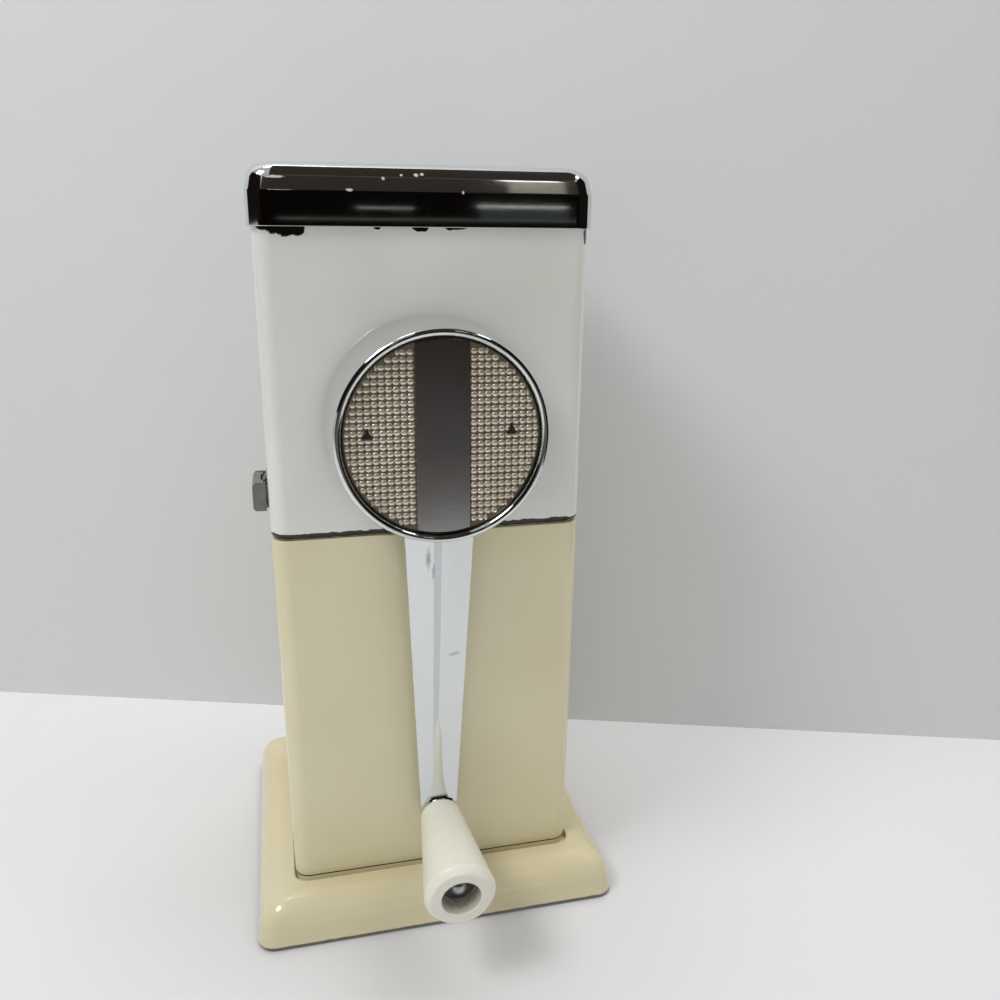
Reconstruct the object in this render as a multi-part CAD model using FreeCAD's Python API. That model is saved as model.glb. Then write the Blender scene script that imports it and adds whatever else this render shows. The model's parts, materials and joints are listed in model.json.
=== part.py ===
import FreeCAD, Part
import math
import os

# Hand crank ice crusher, table-top.
# Millimetres. X to the right, Y to the back, Z up. The origin is on the table, at the middle of the body,
# and the crank is on the front face, at -Y.

Vector = FreeCAD.Vector

# ---- driving dimensions ----
body_width = 93.8           # head and receptacle, outside
body_depth = 82.0
body_corner = 5.0           # upright corner radius of head and receptacle
body_draft = 0.6            # the receptacle is this much narrower on each side at its foot

base_width = 118.4          # base where it meets the table
base_depth = 110.4
base_height = 15.0
base_clearance = 0.8        # lower edge of the base above the table
base_corner = 5.6
base_skirt_height = 6.0     # steep part of the base's side, below the rounded shoulder
base_skirt_draft = 1.0
base_shoulder = 9.0

joint_height = 132.0        # middle of the dark gap between receptacle and head
joint_gap = 1.2
receptacle_wall = 2.6
spigot_height = 5.6
spigot_wall = 1.6

shell_top = 223.5
shell_wall = 1.2

lid_width = 96.2
lid_depth = 84.6
lid_corner = 6.2
lid_skirt_bottom = 219.0
lid_skirt_top = 228.0
lid_top = 235.8
lid_wall = 0.9

shaft_height = 165.0
shaft_radius = 5.0
shaft_hex = 11.4            # across flats, where the rotor wheels sit
shaft_square = 7.4          # end of the shaft that carries the crank

hub_back = -43.4            # rear edge of the crank's round hub
hub_front = -63.4
hub_back_radius = 31.0
hub_front_radius = 29.4
badge_radius = 27.25        # outside of the ring that holds the badge

arm_length = 126.6          # shaft to knob pivot
arm_root_width = 21.4
arm_tip_width = 11.6
arm_thickness = 5.4
arm_lean = 5.0              # degrees: the arm closes in on the body towards the knob
arm_slope = 18.0            # degrees: fall of the arm's two facets on each side of its central ridge
arm_setback = 5.6           # ridge of the arm behind the hub's front, where the arm leaves the hub

knob_length = 35.4
knob_rear_radius = 6.3
knob_front_radius = 10.6
knob_bore_radius = 5.8      # shallow counterbore for the head of the knob's axle
knob_bore_depth = 6.0
knob_axle_radius = 2.0

wheel_pitch = 14.0
wheel_count = 4
wheel_radius = 25.0
wheel_root_radius = 12.0
wheel_thickness = 4.0
wheel_teeth = 3
finger_thickness = 3.2

chamber_half_width = 34.0   # inside of the crushing chamber, side to side
chamber_half_depth = 32.0   # inside of the crushing chamber, front to back
chamber_bottom = 138.4
chamber_top = 199.0
comb_wall = 6.0
liner_sheet = 0.9
liner_shoulder = 216.0      # where the hopper's funnel ends and its upright collar starts
liner_rim = 231.6           # the closed lid rests over this rim
plate_thickness = 4.0
plate_half_width = 43.0

catch_y = -12.0
catch_width = 15.0
catch_pivot_height = 140.8

hinge_height = 218.6
hinge_pin_radius = 1.25
knuckle_radius = 2.6
leaf_sheet = 1.0

# ---- derived ----
half_width = body_width / 2
half_depth = body_depth / 2
receptacle_top = joint_height - joint_gap / 2
shell_bottom = joint_height + joint_gap / 2
shell_front = -half_depth
hinge_y = half_depth + 4.1
lean = math.radians(arm_lean)
pivot_height = shaft_height - arm_length
arm_face_at_hub = hub_front + arm_setback
arm_face_at_pivot = arm_face_at_hub + (arm_length - hub_front_radius) * math.tan(lean)


# ---- helpers ----
def rounded_rectangle(width, depth, radius, height):
    """Closed wire, centred on the Z axis, at one height."""
    x, y, r = width / 2, depth / 2, radius
    d = r * (1 - math.sqrt(0.5))
    corners = [(x, y, 1, 1), (-x, y, -1, 1), (-x, -y, -1, -1), (x, -y, 1, -1)]
    edges = []
    previous = Vector(x, -y + r, height)
    for cx, cy, sx, sy in corners:
        side_end = Vector(cx, cy - sy * r, height)
        top_end = Vector(cx - sx * r, cy, height)
        middle = Vector(cx - sx * d, cy - sy * d, height)
        start, end = (side_end, top_end) if sx * sy > 0 else (top_end, side_end)
        edges.append(Part.makeLine(previous, start))
        edges.append(Part.Arc(start, middle, end).toShape())
        previous = end
    return Part.Wire(edges)


def hipped_rectangle(width, depth, radius, height):
    """Closed outline whose corners turn in three short flats, so that a loft of it has flat faces only."""
    corners = []
    for quarter, (sx, sy) in enumerate([(1, 1), (-1, 1), (-1, -1), (1, -1)]):
        for step in range(4):
            a = math.radians(90 * quarter + 30 * step)
            corners.append(Vector(sx * (width / 2 - radius) + radius * math.cos(a),
                                  sy * (depth / 2 - radius) + radius * math.sin(a), height))
    return Part.makePolygon(corners + corners[:1])


def prism(width, depth, radius, bottom, top):
    face = Part.Face(rounded_rectangle(width, depth, radius, bottom))
    return face.extrude(Vector(0, 0, top - bottom))


def box(x0, x1, y0, y1, z0, z1):
    return Part.makeBox(x1 - x0, y1 - y0, z1 - z0, Vector(x0, y0, z0))


def rod_y(radius, y0, y1, x=0.0, z=shaft_height):
    return Part.makeCylinder(radius, y1 - y0, Vector(x, y0, z), Vector(0, 1, 0))


def rod_z(radius, z0, z1, x=0.0, y=0.0):
    return Part.makeCylinder(radius, z1 - z0, Vector(x, y, z0))


def rod_x(radius, x0, x1, y=0.0, z=0.0):
    return Part.makeCylinder(radius, x1 - x0, Vector(x0, y, z), Vector(1, 0, 0))


def polygon_y(points, y0, y1):
    """Solid of an outline in X and Z, from y0 to y1."""
    corners = [Vector(x, y0, z) for x, z in points]
    face = Part.Face(Part.makePolygon(corners + corners[:1]))
    return face.extrude(Vector(0, y1 - y0, 0))


def polygon_x(points, x0, x1):
    """Solid of an outline in Y and Z, from x0 to x1."""
    corners = [Vector(x0, y, z) for y, z in points]
    face = Part.Face(Part.makePolygon(corners + corners[:1]))
    return face.extrude(Vector(x1 - x0, 0, 0))


def turned_y(points, x=0.0, z=shaft_height):
    """Solid turned about an axis along Y, from an outline of radius and Y."""
    corners = [Vector(x + r, y, z) for r, y in points]
    face = Part.Face(Part.makePolygon(corners + corners[:1]))
    return face.revolve(Vector(x, 0, z), Vector(0, 1, 0), 360)


def hexagon_y(across_flats, y0, y1, x=0.0, z=shaft_height):
    radius = across_flats / math.sqrt(3)
    turns = [math.radians(60 * i) for i in range(6)]
    return polygon_y([(x + radius * math.cos(a), z + radius * math.sin(a)) for a in turns], y0, y1)


def screw(x, y, z, axis, shank_radius, shank_length, head_radius, head_height):
    """Screw or rivet whose round head stands at the given place, its shank running along the axis."""
    place = Vector(x, y, z)
    shank = Part.makeCylinder(shank_radius, shank_length, place, axis)
    return shank.fuse(Part.makeCylinder(head_radius, head_height, place - axis * head_height, axis))


def bolt(x, y, z, axis, shank_radius, shank_length, across_flats, head_height):
    """Bolt whose hexagon head stands at the given place, its shank running along the axis."""
    made = rod_y(shank_radius, 0, shank_length, 0, 0).fuse(hexagon_y(across_flats, -head_height, 0, 0, 0))
    made.Placement = FreeCAD.Placement(Vector(x, y, z), FreeCAD.Rotation(Vector(0, 1, 0), axis))
    return made


def save(shape, name):
    shape.removeSplitter().exportStep("parts/" + name + ".step")


# ---- base and receptacle ----
base_screw_places = [(x, y) for x in (-33.0, 33.0) for y in (-27.0, 27.0)]
seat_height = 13.0          # floor of the shallow seat that takes the receptacle
base_skin_height = 10.2     # underside of the base's top
base_lip = 3.4              # thickness of the base's lower edge, outside the rubber ring
foot_height = 3.0           # the ring sits under a shelf at this height
foot_width = 7.0
shelf_width = 4.6
base_screw_radius = 1.8
base_screw_seat = 7.0
foot_outline_width = body_width - 2 * body_draft      # the receptacle's outline where it stands in the seat
foot_outline_depth = body_depth - 2 * body_draft


def base_section(height):
    """Outline of the base at one height: steep skirt, then a quarter-round shoulder."""
    if height <= base_skirt_height:
        inset = base_skirt_draft * height / base_skirt_height
    else:
        rise = (height - base_skirt_height) / base_shoulder
        inset = base_skirt_draft + base_shoulder * (1 - math.sqrt(max(0.0, 1 - rise * rise)))
    corner = base_corner - 2.0 * height / base_height
    return hipped_rectangle(base_width - 2 * inset, base_depth - 2 * inset, corner, height)


def make_base():
    rises = [base_shoulder * math.sin(math.radians(a)) for a in (0, 24, 46, 68, 90)]
    heights = [base_clearance] + [base_skirt_height + rise for rise in rises]
    base = Part.makeLoft([base_section(h) for h in heights], True, True)
    seat = prism(foot_outline_width + 0.7, foot_outline_depth + 0.7, body_corner + 0.3,
                 seat_height, base_height + 1)
    rebate = prism(base_width - 2 * base_lip, base_depth - 2 * base_lip, 4.0, 0, foot_height)
    wall = 2 * (base_lip + shelf_width)
    inside = Part.makeLoft([
        hipped_rectangle(base_width - wall, base_depth - wall, 3, foot_height - 1),
        hipped_rectangle(base_width - wall - 2, base_depth - wall - 2, 3, base_skin_height)], True, True)
    base = base.cut(seat).cut(rebate).cut(inside)
    for x, y in base_screw_places:
        base = base.fuse(rod_z(5.0, base_screw_seat, base_skin_height + 1, x, y))
        base = base.cut(rod_z(base_screw_radius + 0.1, base_screw_seat - 1, seat_height + 1, x, y))
    return base


def make_rubber_foot():
    """One rubber ring, bonded into the rebate under the base."""
    width, depth = base_width - 2 * base_lip - 0.2, base_depth - 2 * base_lip - 0.2
    ring = prism(width, depth, 3.9, 0, foot_height)
    return ring.cut(prism(width - 2 * foot_width, depth - 2 * foot_width, 1.5, -1, foot_height + 1))


def make_base_screws():
    up = Vector(0, 0, 1)
    screws = [bolt(x, y, base_screw_seat, up, base_screw_radius, 12.0, 6.4, 1.8) for x, y in base_screw_places]
    return Part.makeCompound(screws)


receptacle_floor = 22.6
spigot_clearance = 0.3
rim_chamfer = 0.5


def make_receptacle():
    """Slightly tapered ice receptacle, hollow above and below its floor, with a spigot for the head."""
    cup = Part.makeLoft([
        rounded_rectangle(foot_outline_width, foot_outline_depth, body_corner, seat_height),
        rounded_rectangle(body_width, body_depth, body_corner, receptacle_top - rim_chamfer),
        rounded_rectangle(body_width - 2 * rim_chamfer, body_depth - 2 * rim_chamfer, body_corner - rim_chamfer,
                          receptacle_top)], True, True)
    step = shell_wall + spigot_clearance
    spigot_width, spigot_depth = body_width - 2 * step, body_depth - 2 * step
    spigot_top = receptacle_top + spigot_height
    spigot = prism(spigot_width, spigot_depth, body_corner - step, receptacle_top - 6, spigot_top)
    width, depth = spigot_width - 2 * spigot_wall, spigot_depth - 2 * spigot_wall
    ice_space = Part.makeLoft([
        rounded_rectangle(width - 2 * body_draft, depth - 2 * body_draft, 3.0, receptacle_floor),
        rounded_rectangle(width, depth, 3.0, receptacle_top),
        rounded_rectangle(width, depth, 3.0, spigot_top + 1)], True, True)
    recess = prism(foot_outline_width - 2 * receptacle_wall, foot_outline_depth - 2 * receptacle_wall, 3.0,
                   seat_height - 1, receptacle_floor - receptacle_wall)
    cup = cup.fuse(spigot).cut(ice_space).cut(recess)
    # open-topped notch in the spigot for the hook of the catch
    notch = box(-half_width, -half_width + 5, catch_y - 6, catch_y + 6, receptacle_top + 0.6, spigot_top + 1)
    cup = cup.cut(notch)
    for x, y in base_screw_places:
        boss = rod_z(4.2, seat_height, receptacle_floor - 1, x, y)
        cup = cup.fuse(boss.cut(rod_z(base_screw_radius, 12, receptacle_floor - 3, x, y)))
    return cup


# ---- head: enamelled shell ----
bearing_screw_places = [(15 * math.cos(a), shaft_height + 15 * math.sin(a))
                        for a in (math.radians(90), math.radians(210), math.radians(330))]
shell_bore = 10.4           # round hole in the shell's front for the bearing boss


def make_head_shell():
    """Wrapped sheet shell, open above and below."""
    shell = prism(body_width, body_depth, body_corner, shell_bottom, shell_top)
    inside = prism(body_width - 2 * shell_wall, body_depth - 2 * shell_wall, body_corner - shell_wall,
                   shell_bottom - 1, shell_top + 1)
    shell = shell.cut(inside)
    shell = shell.cut(rod_y(shell_bore, shell_front - 1, shell_front + 3))
    for x, z in bearing_screw_places:
        shell = shell.cut(rod_y(1.7, shell_front - 1, shell_front + 3, x, z))
    # slot for the hook of the catch
    slot = box(-half_width - 1, -half_width + 3, catch_y - 5, catch_y + 5, shell_bottom + 0.9, catch_slot_top)
    return shell.cut(slot)


# ---- head: hopper and crushing chamber ----
def make_hopper_liner():
    """Sheet funnel that hangs by its flange on the shell's upper edge, its rim standing up under the lid."""
    slack = 0.8
    mouth_width = body_width - 2 * shell_wall - slack
    mouth_depth = body_depth - 2 * shell_wall - slack
    mouth_corner = body_corner - shell_wall - 0.2
    throat_width = 2 * chamber_half_width - 1
    throat_depth = 2 * chamber_half_depth
    throat_height = chamber_top + 0.3

    def funnel(grow, bottom, top):
        corner = mouth_corner + grow / 2
        throat = hipped_rectangle(throat_width + grow, throat_depth + grow, corner, bottom)
        shoulder = hipped_rectangle(mouth_width + grow, mouth_depth + grow, corner, liner_shoulder)
        rim = hipped_rectangle(mouth_width + grow, mouth_depth + grow, corner, top)
        return Part.makeLoft([throat, shoulder, rim], True, True)

    outside = funnel(0, throat_height, liner_rim)
    flange = prism(body_width - 0.4, body_depth - 0.4, body_corner, shell_top, shell_top + liner_sheet)
    inside = funnel(-2 * liner_sheet, throat_height - 0.1, liner_rim + 1)
    return outside.fuse(flange).cut(inside)


def make_plate(front):
    """Cast end plate with bearing boss and stiffening ribs, made as the front one or the rear one."""
    side = -1 if front else 1
    near = side * chamber_half_depth
    far = side * (chamber_half_depth + plate_thickness)
    y0, y1 = min(near, far), max(near, far)
    w, chamfer = plate_half_width, 6.0
    outline = [(-w, chamber_bottom), (w, chamber_bottom), (w, chamber_top - chamfer),
               (w - chamfer, chamber_top), (-w + chamfer, chamber_top), (-w, chamber_top - chamfer)]
    plate = polygon_y(outline, y0, y1)
    boss_end = shell_front - 0.6 if front else half_depth - shell_wall - 0.6
    b0, b1 = min(near, boss_end), max(near, boss_end)
    plate = plate.fuse(rod_y(shell_bore - 0.4 if front else 11.0, b0, b1))
    # the rear plate, which no screws hold to the shell, is stiffened by ribs out to the shell
    rib_y = sorted((far, side * (half_depth - shell_wall - 0.5)))
    for angle in () if front else (30, 150, 210, 330):
        rib = box(8, 30, rib_y[0], rib_y[1], -1.5, 1.5)
        rib.rotate(Vector(0, 0, 0), Vector(0, 1, 0), angle)
        rib.translate(Vector(0, 0, shaft_height))
        plate = plate.fuse(rib)
    for x, z in bearing_screw_places if front else []:
        plate = plate.fuse(rod_y(4.2, shell_front + shell_wall, y1, x, z))
    plate = plate.cut(rod_y(bushing_radius, b0 - 1, b1 + 1))
    for x, z in bearing_screw_places if front else []:
        plate = plate.cut(rod_y(bearing_screw_radius, b0, y1 + 1, x, z))
    for x, z in tie_places:
        plate = plate.cut(rod_y(tie_radius + 0.1, y0 - 1, y1 + 1, x, z))
    return plate


tie_radius = 2.0
tie_places = [(x, z) for x in (-chamber_half_width - comb_wall / 2, chamber_half_width + comb_wall / 2)
              for z in (146.0, 190.0)]


def finger(side, tip, y):
    """One fixed finger, pointing from the chamber wall to the shaft."""
    root = chamber_half_width + 0.5
    outline = [(side * root, shaft_height + 9), (side * tip, shaft_height + 1.6),
               (side * tip, shaft_height - 3.4), (side * root, shaft_height - 15)]
    return polygon_y(outline, y - finger_thickness / 2, y + finger_thickness / 2)


def make_comb(side, tip, finger_places):
    inner, outer = chamber_half_width, chamber_half_width + comb_wall
    x0, x1 = sorted((side * inner, side * outer))
    comb = box(x0, x1, -chamber_half_depth, chamber_half_depth, chamber_bottom, chamber_top - 1)
    # the wall is relieved between its two bolting flanges
    r0, r1 = sorted((side * (inner + 3.2), side * (outer + 1)))
    relief = box(r0, r1, -chamber_half_depth + 5, chamber_half_depth - 5, 152, 184)
    comb = comb.cut(relief)
    for y in finger_places:
        comb = comb.fuse(finger(side, tip, y))
    for x, z in tie_places:
        comb = comb.cut(rod_y(tie_radius + 0.1, -chamber_half_depth - 1, chamber_half_depth + 1, x, z))
    return comb


gap_places = [(i - wheel_count / 2) * wheel_pitch for i in range(wheel_count + 1)]


def make_tie_bolts():
    reach = chamber_half_depth + plate_thickness
    bolts = [bolt(x, -reach, z, Vector(0, 1, 0), tie_radius, 2 * reach + 2.8, 6.6, 2.4)
             for x, z in tie_places]
    return Part.makeCompound(bolts)


def make_tie_nuts():
    reach = chamber_half_depth + plate_thickness
    nuts = [hexagon_y(6.6, reach, reach + 2.6, x, z).cut(rod_y(tie_radius + 0.05, reach - 1, reach + 4, x, z))
            for x, z in tie_places]
    return Part.makeCompound(nuts)


bushing_front_end = shell_front - 1.4
bushing_radius = 7.0
bearing_screw_radius = 1.5


def make_front_bushing():
    bush = rod_y(bushing_radius, bushing_front_end, -chamber_half_depth + 0.2)
    flange = rod_y(9.0, bushing_front_end, shell_front - 0.6)
    return bush.fuse(flange).cut(rod_y(shaft_radius + 0.05, -60, 0))


def make_rear_bushing():
    bush = rod_y(bushing_radius, chamber_half_depth - 0.2, half_depth - shell_wall - 0.8)
    return bush.cut(rod_y(shaft_radius + 0.05, 0, 60))


def make_bearing_screws():
    screws = [screw(x, shell_front, z, Vector(0, 1, 0), bearing_screw_radius, 8.0, 2.8, 1.3)
              for x, z in bearing_screw_places]
    return Part.makeCompound(screws)


# ---- head: side catch ----
catch_outer_x = -half_width - 5.1
catch_pivot_x = -half_width - 2.3
catch_plate_x = -half_width - 0.8       # outer face of the bracket's plate
catch_pin_radius = 0.7
catch_barrel_radius = 1.2
catch_top = catch_pivot_height + 2.8
catch_slot_top = shell_bottom + 4.6
cheek_sheet = 1.0
ear_face = catch_width / 2 - cheek_sheet - 0.3      # from the catch's middle to the outside of an ear
ear_sheet = 1.0
ear_radius = 1.5


def make_catch_bracket():
    """Folded bracket on the shell's side with two ears that carry the pin, hidden inside the lever."""
    bracket = box(catch_plate_x, -half_width, catch_y - ear_face, catch_y + ear_face, catch_slot_top, catch_top + 1.0)
    for side in (-1, 1):
        y0, y1 = sorted((catch_y + side * ear_face, catch_y + side * (ear_face - ear_sheet)))
        ear = box(catch_pivot_x, catch_plate_x + 0.4, y0, y1,
                  catch_pivot_height - ear_radius, catch_pivot_height + ear_radius)
        bracket = bracket.fuse(ear).fuse(rod_y(ear_radius, y0, y1, catch_pivot_x, catch_pivot_height))
    return bracket.cut(rod_y(catch_pin_radius, catch_y - 12, catch_y + 12, catch_pivot_x, catch_pivot_height))


def make_catch_pin():
    return rod_y(catch_pin_radius, catch_y - ear_face, catch_y + ear_face, catch_pivot_x, catch_pivot_height)


def make_catch_lever():
    """Pressed channel rocking on the pin: thumb plate outside, a cheek at each end, barrel and hook inside."""
    y0, y1 = catch_y - catch_width / 2, catch_y + catch_width / 2
    top, bottom = catch_top, shell_bottom + 1.9
    outer, inner = catch_outer_x, catch_plate_x - 0.3
    cheek = [(outer, bottom + 0.8), (outer, top - 1.3), (outer + 0.9, top), (inner, top), (inner, bottom),
             (outer + 0.8, bottom)]
    hollow = box(outer + cheek_sheet, 0, y0 + cheek_sheet, y1 - cheek_sheet, bottom - 1, top + 1)
    reach = ear_face - ear_sheet - 0.2
    barrel = rod_y(catch_barrel_radius, catch_y - reach, catch_y + reach, catch_pivot_x, catch_pivot_height)
    web = box(outer + 0.5, catch_pivot_x, catch_y - reach, catch_y + reach,
              catch_pivot_height - 0.6, catch_pivot_height + 0.6)
    hook = box(outer + 0.4, -half_width + 2.8, catch_y - 4, catch_y + 4, bottom, bottom + 1.6)
    lever = polygon_y(cheek, y0, y1).cut(hollow).fuse(barrel).fuse(web).fuse(hook)
    return lever.cut(rod_y(catch_pin_radius + 0.1, catch_y - reach - 0.1, catch_y + reach + 0.1,
                           catch_pivot_x, catch_pivot_height))


def make_catch_spring():
    """Bent leaf spring, fixed high on the bracket and bearing outwards behind the thumb pad."""
    sheet = 0.35
    foot_top, bend, tip = catch_pivot_height + 3.6, catch_pivot_height + 2.8, catch_pivot_height + 1.7
    tip_x = catch_pivot_x + 0.2
    outline = [(catch_plate_x, foot_top), (catch_plate_x - sheet, foot_top), (catch_plate_x - sheet, bend),
               (tip_x, tip + sheet), (tip_x + sheet * 0.7, tip), (catch_plate_x, bend - sheet * 0.7)]
    return polygon_y(outline, catch_y - 3, catch_y + 3)


# ---- lid and hinge ----
def lid_section(inset, height, shrink=0.0):
    grow = inset + shrink
    return hipped_rectangle(lid_width - 2 * grow, lid_depth - 2 * grow, lid_corner - 0.2 * inset - shrink, height)


# inset from the skirt, and height, of the crown that rounds over above the skirt's crisp bend
lid_profile = [(0.0, lid_skirt_top), (0.7, 231.4), (1.9, 233.6), (4.2, 235.0), (8.5, 235.6), (15.0, lid_top)]


def lid_body(shrink):
    """The lid's outside, or with a shrink its inside, open below."""
    below = 1 if shrink else 0
    sections = [lid_section(0, lid_skirt_bottom - below, shrink), lid_section(0, lid_skirt_top, shrink)]
    sections += [lid_section(inset, height - shrink, shrink) for inset, height in lid_profile[1:]]
    return Part.makeLoft(sections, True, True)


def make_lid():
    return lid_body(0).cut(lid_body(lid_wall))


knuckles = [(-17.0, -7.2), (-6.8, 6.8), (7.2, 17.0)]      # head, lid, head


def knuckle(x0, x1):
    return rod_x(knuckle_radius, x0, x1, hinge_y, hinge_height)


def hinge_bore():
    return rod_x(hinge_pin_radius + 0.06, -30, 30, hinge_y, hinge_height)


def make_body_hinge_leaf():
    y0, y1 = half_depth, half_depth + leaf_sheet
    leaf = box(-17, 17, y0, y1, hinge_height - 13, hinge_height - 3.0)
    for x0, x1 in (knuckles[0], knuckles[2]):
        tongue = polygon_x([(y0, hinge_height - 3.4), (y1, hinge_height - 3.4),
                            (hinge_y, hinge_height - 2.5), (hinge_y, hinge_height),
                            (hinge_y - 2.5, hinge_height), (y0, hinge_height - 1.6)], x0, x1)
        leaf = leaf.fuse(tongue).fuse(knuckle(x0, x1))
    return leaf.cut(hinge_bore())


def make_lid_hinge_leaf():
    y0, y1 = lid_depth / 2, lid_depth / 2 + leaf_sheet
    x0, x1 = knuckles[1]
    leaf = box(-17, 17, y0, y1, hinge_height + 3.2, lid_skirt_top - 0.6)
    tongue = polygon_x([(y0, hinge_height + 3.6), (y0, hinge_height + 1.4),
                        (hinge_y, hinge_height), (hinge_y + 1.6, hinge_height + 2.0),
                        (y1, hinge_height + 3.6)], x0, x1)
    return leaf.fuse(tongue).fuse(knuckle(x0, x1)).cut(hinge_bore())


def make_hinge_pin():
    reach = knuckles[2][1] + 0.2
    pin = rod_x(hinge_pin_radius, -reach, reach, hinge_y, hinge_height)
    for x0 in (-reach - 1.0, reach):
        pin = pin.fuse(rod_x(hinge_pin_radius + 0.6, x0, x0 + 1.0, hinge_y, hinge_height))
    return pin


def make_rivets(places, y):
    """Set heads of the rivets that hold a hinge leaf whose outer face is at y."""
    return Part.makeCompound([rod_y(2.0, y, y + 0.9, x, z) for x, z in places])


body_rivet_places = [(x, hinge_height - 8) for x in (-12.0, 0.0, 12.0)]
lid_rivet_places = [(x, hinge_height + 6.2) for x in (-12.0, 12.0)]


# ---- crank ----
def arm_frame(shape):
    """Leans a shape built upright on the plane y = 0, so that the plane becomes the arm's face."""
    shape.rotate(Vector(0, 0, pivot_height), Vector(1, 0, 0), arm_lean)
    shape.translate(Vector(0, arm_face_at_pivot, 0))
    return shape


def make_arm():
    """Tapered arm with a central ridge, rounded at the knob end, a pad for the knob, and a gusset at its root."""
    top = shaft_height - 14
    root, tip = arm_root_width / 2, arm_tip_width / 2
    z = pivot_height
    edges = [Part.makeLine(Vector(-tip, 0, z), Vector(-root, 0, top)),
             Part.makeLine(Vector(-root, 0, top), Vector(root, 0, top)),
             Part.makeLine(Vector(root, 0, top), Vector(tip, 0, z)),
             Part.Arc(Vector(tip, 0, z), Vector(0, 0, z - tip), Vector(-tip, 0, z)).toShape()]
    arm = Part.Face(Part.Wire(edges)).extrude(Vector(0, arm_thickness, 0))
    fall = root * math.tan(math.radians(arm_slope))
    crest = arm_crest * math.tan(math.radians(arm_slope)) / 2
    section = [(-root, fall), (-arm_crest, crest), (0, 0), (arm_crest, crest), (root, fall),
               (root, arm_thickness), (-root, arm_thickness)]
    corners = [Vector(x, y, z - tip - 1) for x, y in section]
    roof = Part.Face(Part.makePolygon(corners + corners[:1])).extrude(Vector(0, 0, top - z + tip + 1))
    back = arm_thickness - 0.5
    gusset = polygon_x([(back, gusset_bottom), (back, top), (back + gusset_depth, top)],
                       -gusset_thickness / 2, gusset_thickness / 2)
    pad = rod_y(knob_pad_radius, -knob_pad_height, arm_thickness, 0, z)
    return arm_frame(arm.common(roof).fuse(gusset).fuse(pad))


arm_crest = 1.6             # half width of the ridge's softened top
knob_pad_radius = 6.2
knob_pad_height = 0.5       # above the ridge
gusset_thickness = 3.6
gusset_depth = 8.0
gusset_bottom = shaft_height - 62
badge_floor = hub_front + 2.6
web_back = badge_floor + 3.0
hub_hollow_radius = 27.4
hub_edge = 0.4
rim_bevel = 0.7
crank_boss_radius = 8.4


def make_hub():
    """Deep round hub whose front edge is a narrow bevelled rim about the recess for the badge."""
    recess = badge_radius + 0.05
    return turned_y([(0, badge_floor), (0, hub_back), (hub_back_radius - hub_edge, hub_back),
                     (hub_back_radius, hub_back - hub_edge), (hub_front_radius, hub_front + rim_bevel),
                     (hub_front_radius - rim_bevel, hub_front), (recess + rim_bevel, hub_front),
                     (recess, hub_front + rim_bevel), (recess, badge_floor)])


def make_crank():
    """One casting: the hub, hollow behind, and the arm."""
    crank = make_hub().fuse(make_arm())
    crank = crank.cut(rod_y(hub_hollow_radius, web_back, hub_back + 1))
    crank = crank.fuse(rod_y(crank_boss_radius, web_back - 1, hub_back))
    square = shaft_square / 2 + 0.05
    crank = crank.cut(box(-square, square, shaft_square_end, 0, shaft_height - square, shaft_height + square))
    # clearance hole and counterbore for the screw under the badge
    crank = crank.cut(rod_y(3.3, hub_front, web_back + 1))
    crank = crank.cut(rod_y(7.0, hub_front, badge_floor + 1.6))
    return crank.cut(arm_frame(rod_y(knob_axle_radius, -5, 20, 0, pivot_height)))


def make_badge():
    """Round badge with a raised polished band down its middle."""
    plate = rod_y(badge_radius - 0.55, badge_floor - 1.0, badge_floor)
    band = box(-7.4, 7.4, badge_floor - 1.6, badge_floor - 0.5, shaft_height - 30, shaft_height + 30)
    return plate.fuse(band.common(rod_y(badge_radius - 0.55, -70, -50)))


def make_badge_ring():
    return turned_y([(badge_radius - 0.5, badge_floor), (badge_radius, badge_floor),
                     (badge_radius, badge_floor - 1.1), (badge_radius - 0.5, badge_floor - 1.1)])


def make_crank_screw():
    return screw(0, badge_floor + 1.3, shaft_height, Vector(0, 1, 0), 2.5, 14.0, 5.2, 1.2)


def make_crank_washer():
    return rod_y(6.4, badge_floor + 1.3, badge_floor + 1.6).cut(rod_y(2.6, -70, -50))


def make_thrust_washer():
    return rod_y(crank_boss_radius, hub_back, bushing_front_end - 0.15).cut(rod_y(shaft_radius + 0.1, -60, 0))


# ---- drive shaft and rotor ----
shaft_square_end = -57.2
shaft_shoulder = chamber_half_depth - 0.6


def make_drive_shaft():
    shaft = rod_y(shaft_radius, hub_back + 0.1, half_depth - shell_wall - 1.0)
    square = shaft_square / 2
    tang = box(-square, square, shaft_square_end, hub_back + 1, shaft_height - square, shaft_height + square)
    tang = tang.common(rod_y(shaft_radius - 0.05, -70, 0))
    shaft = shaft.fuse(tang).fuse(hexagon_y(shaft_hex, -shaft_shoulder, shaft_shoulder))
    return shaft.cut(rod_y(2.5, -60, -45))


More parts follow.
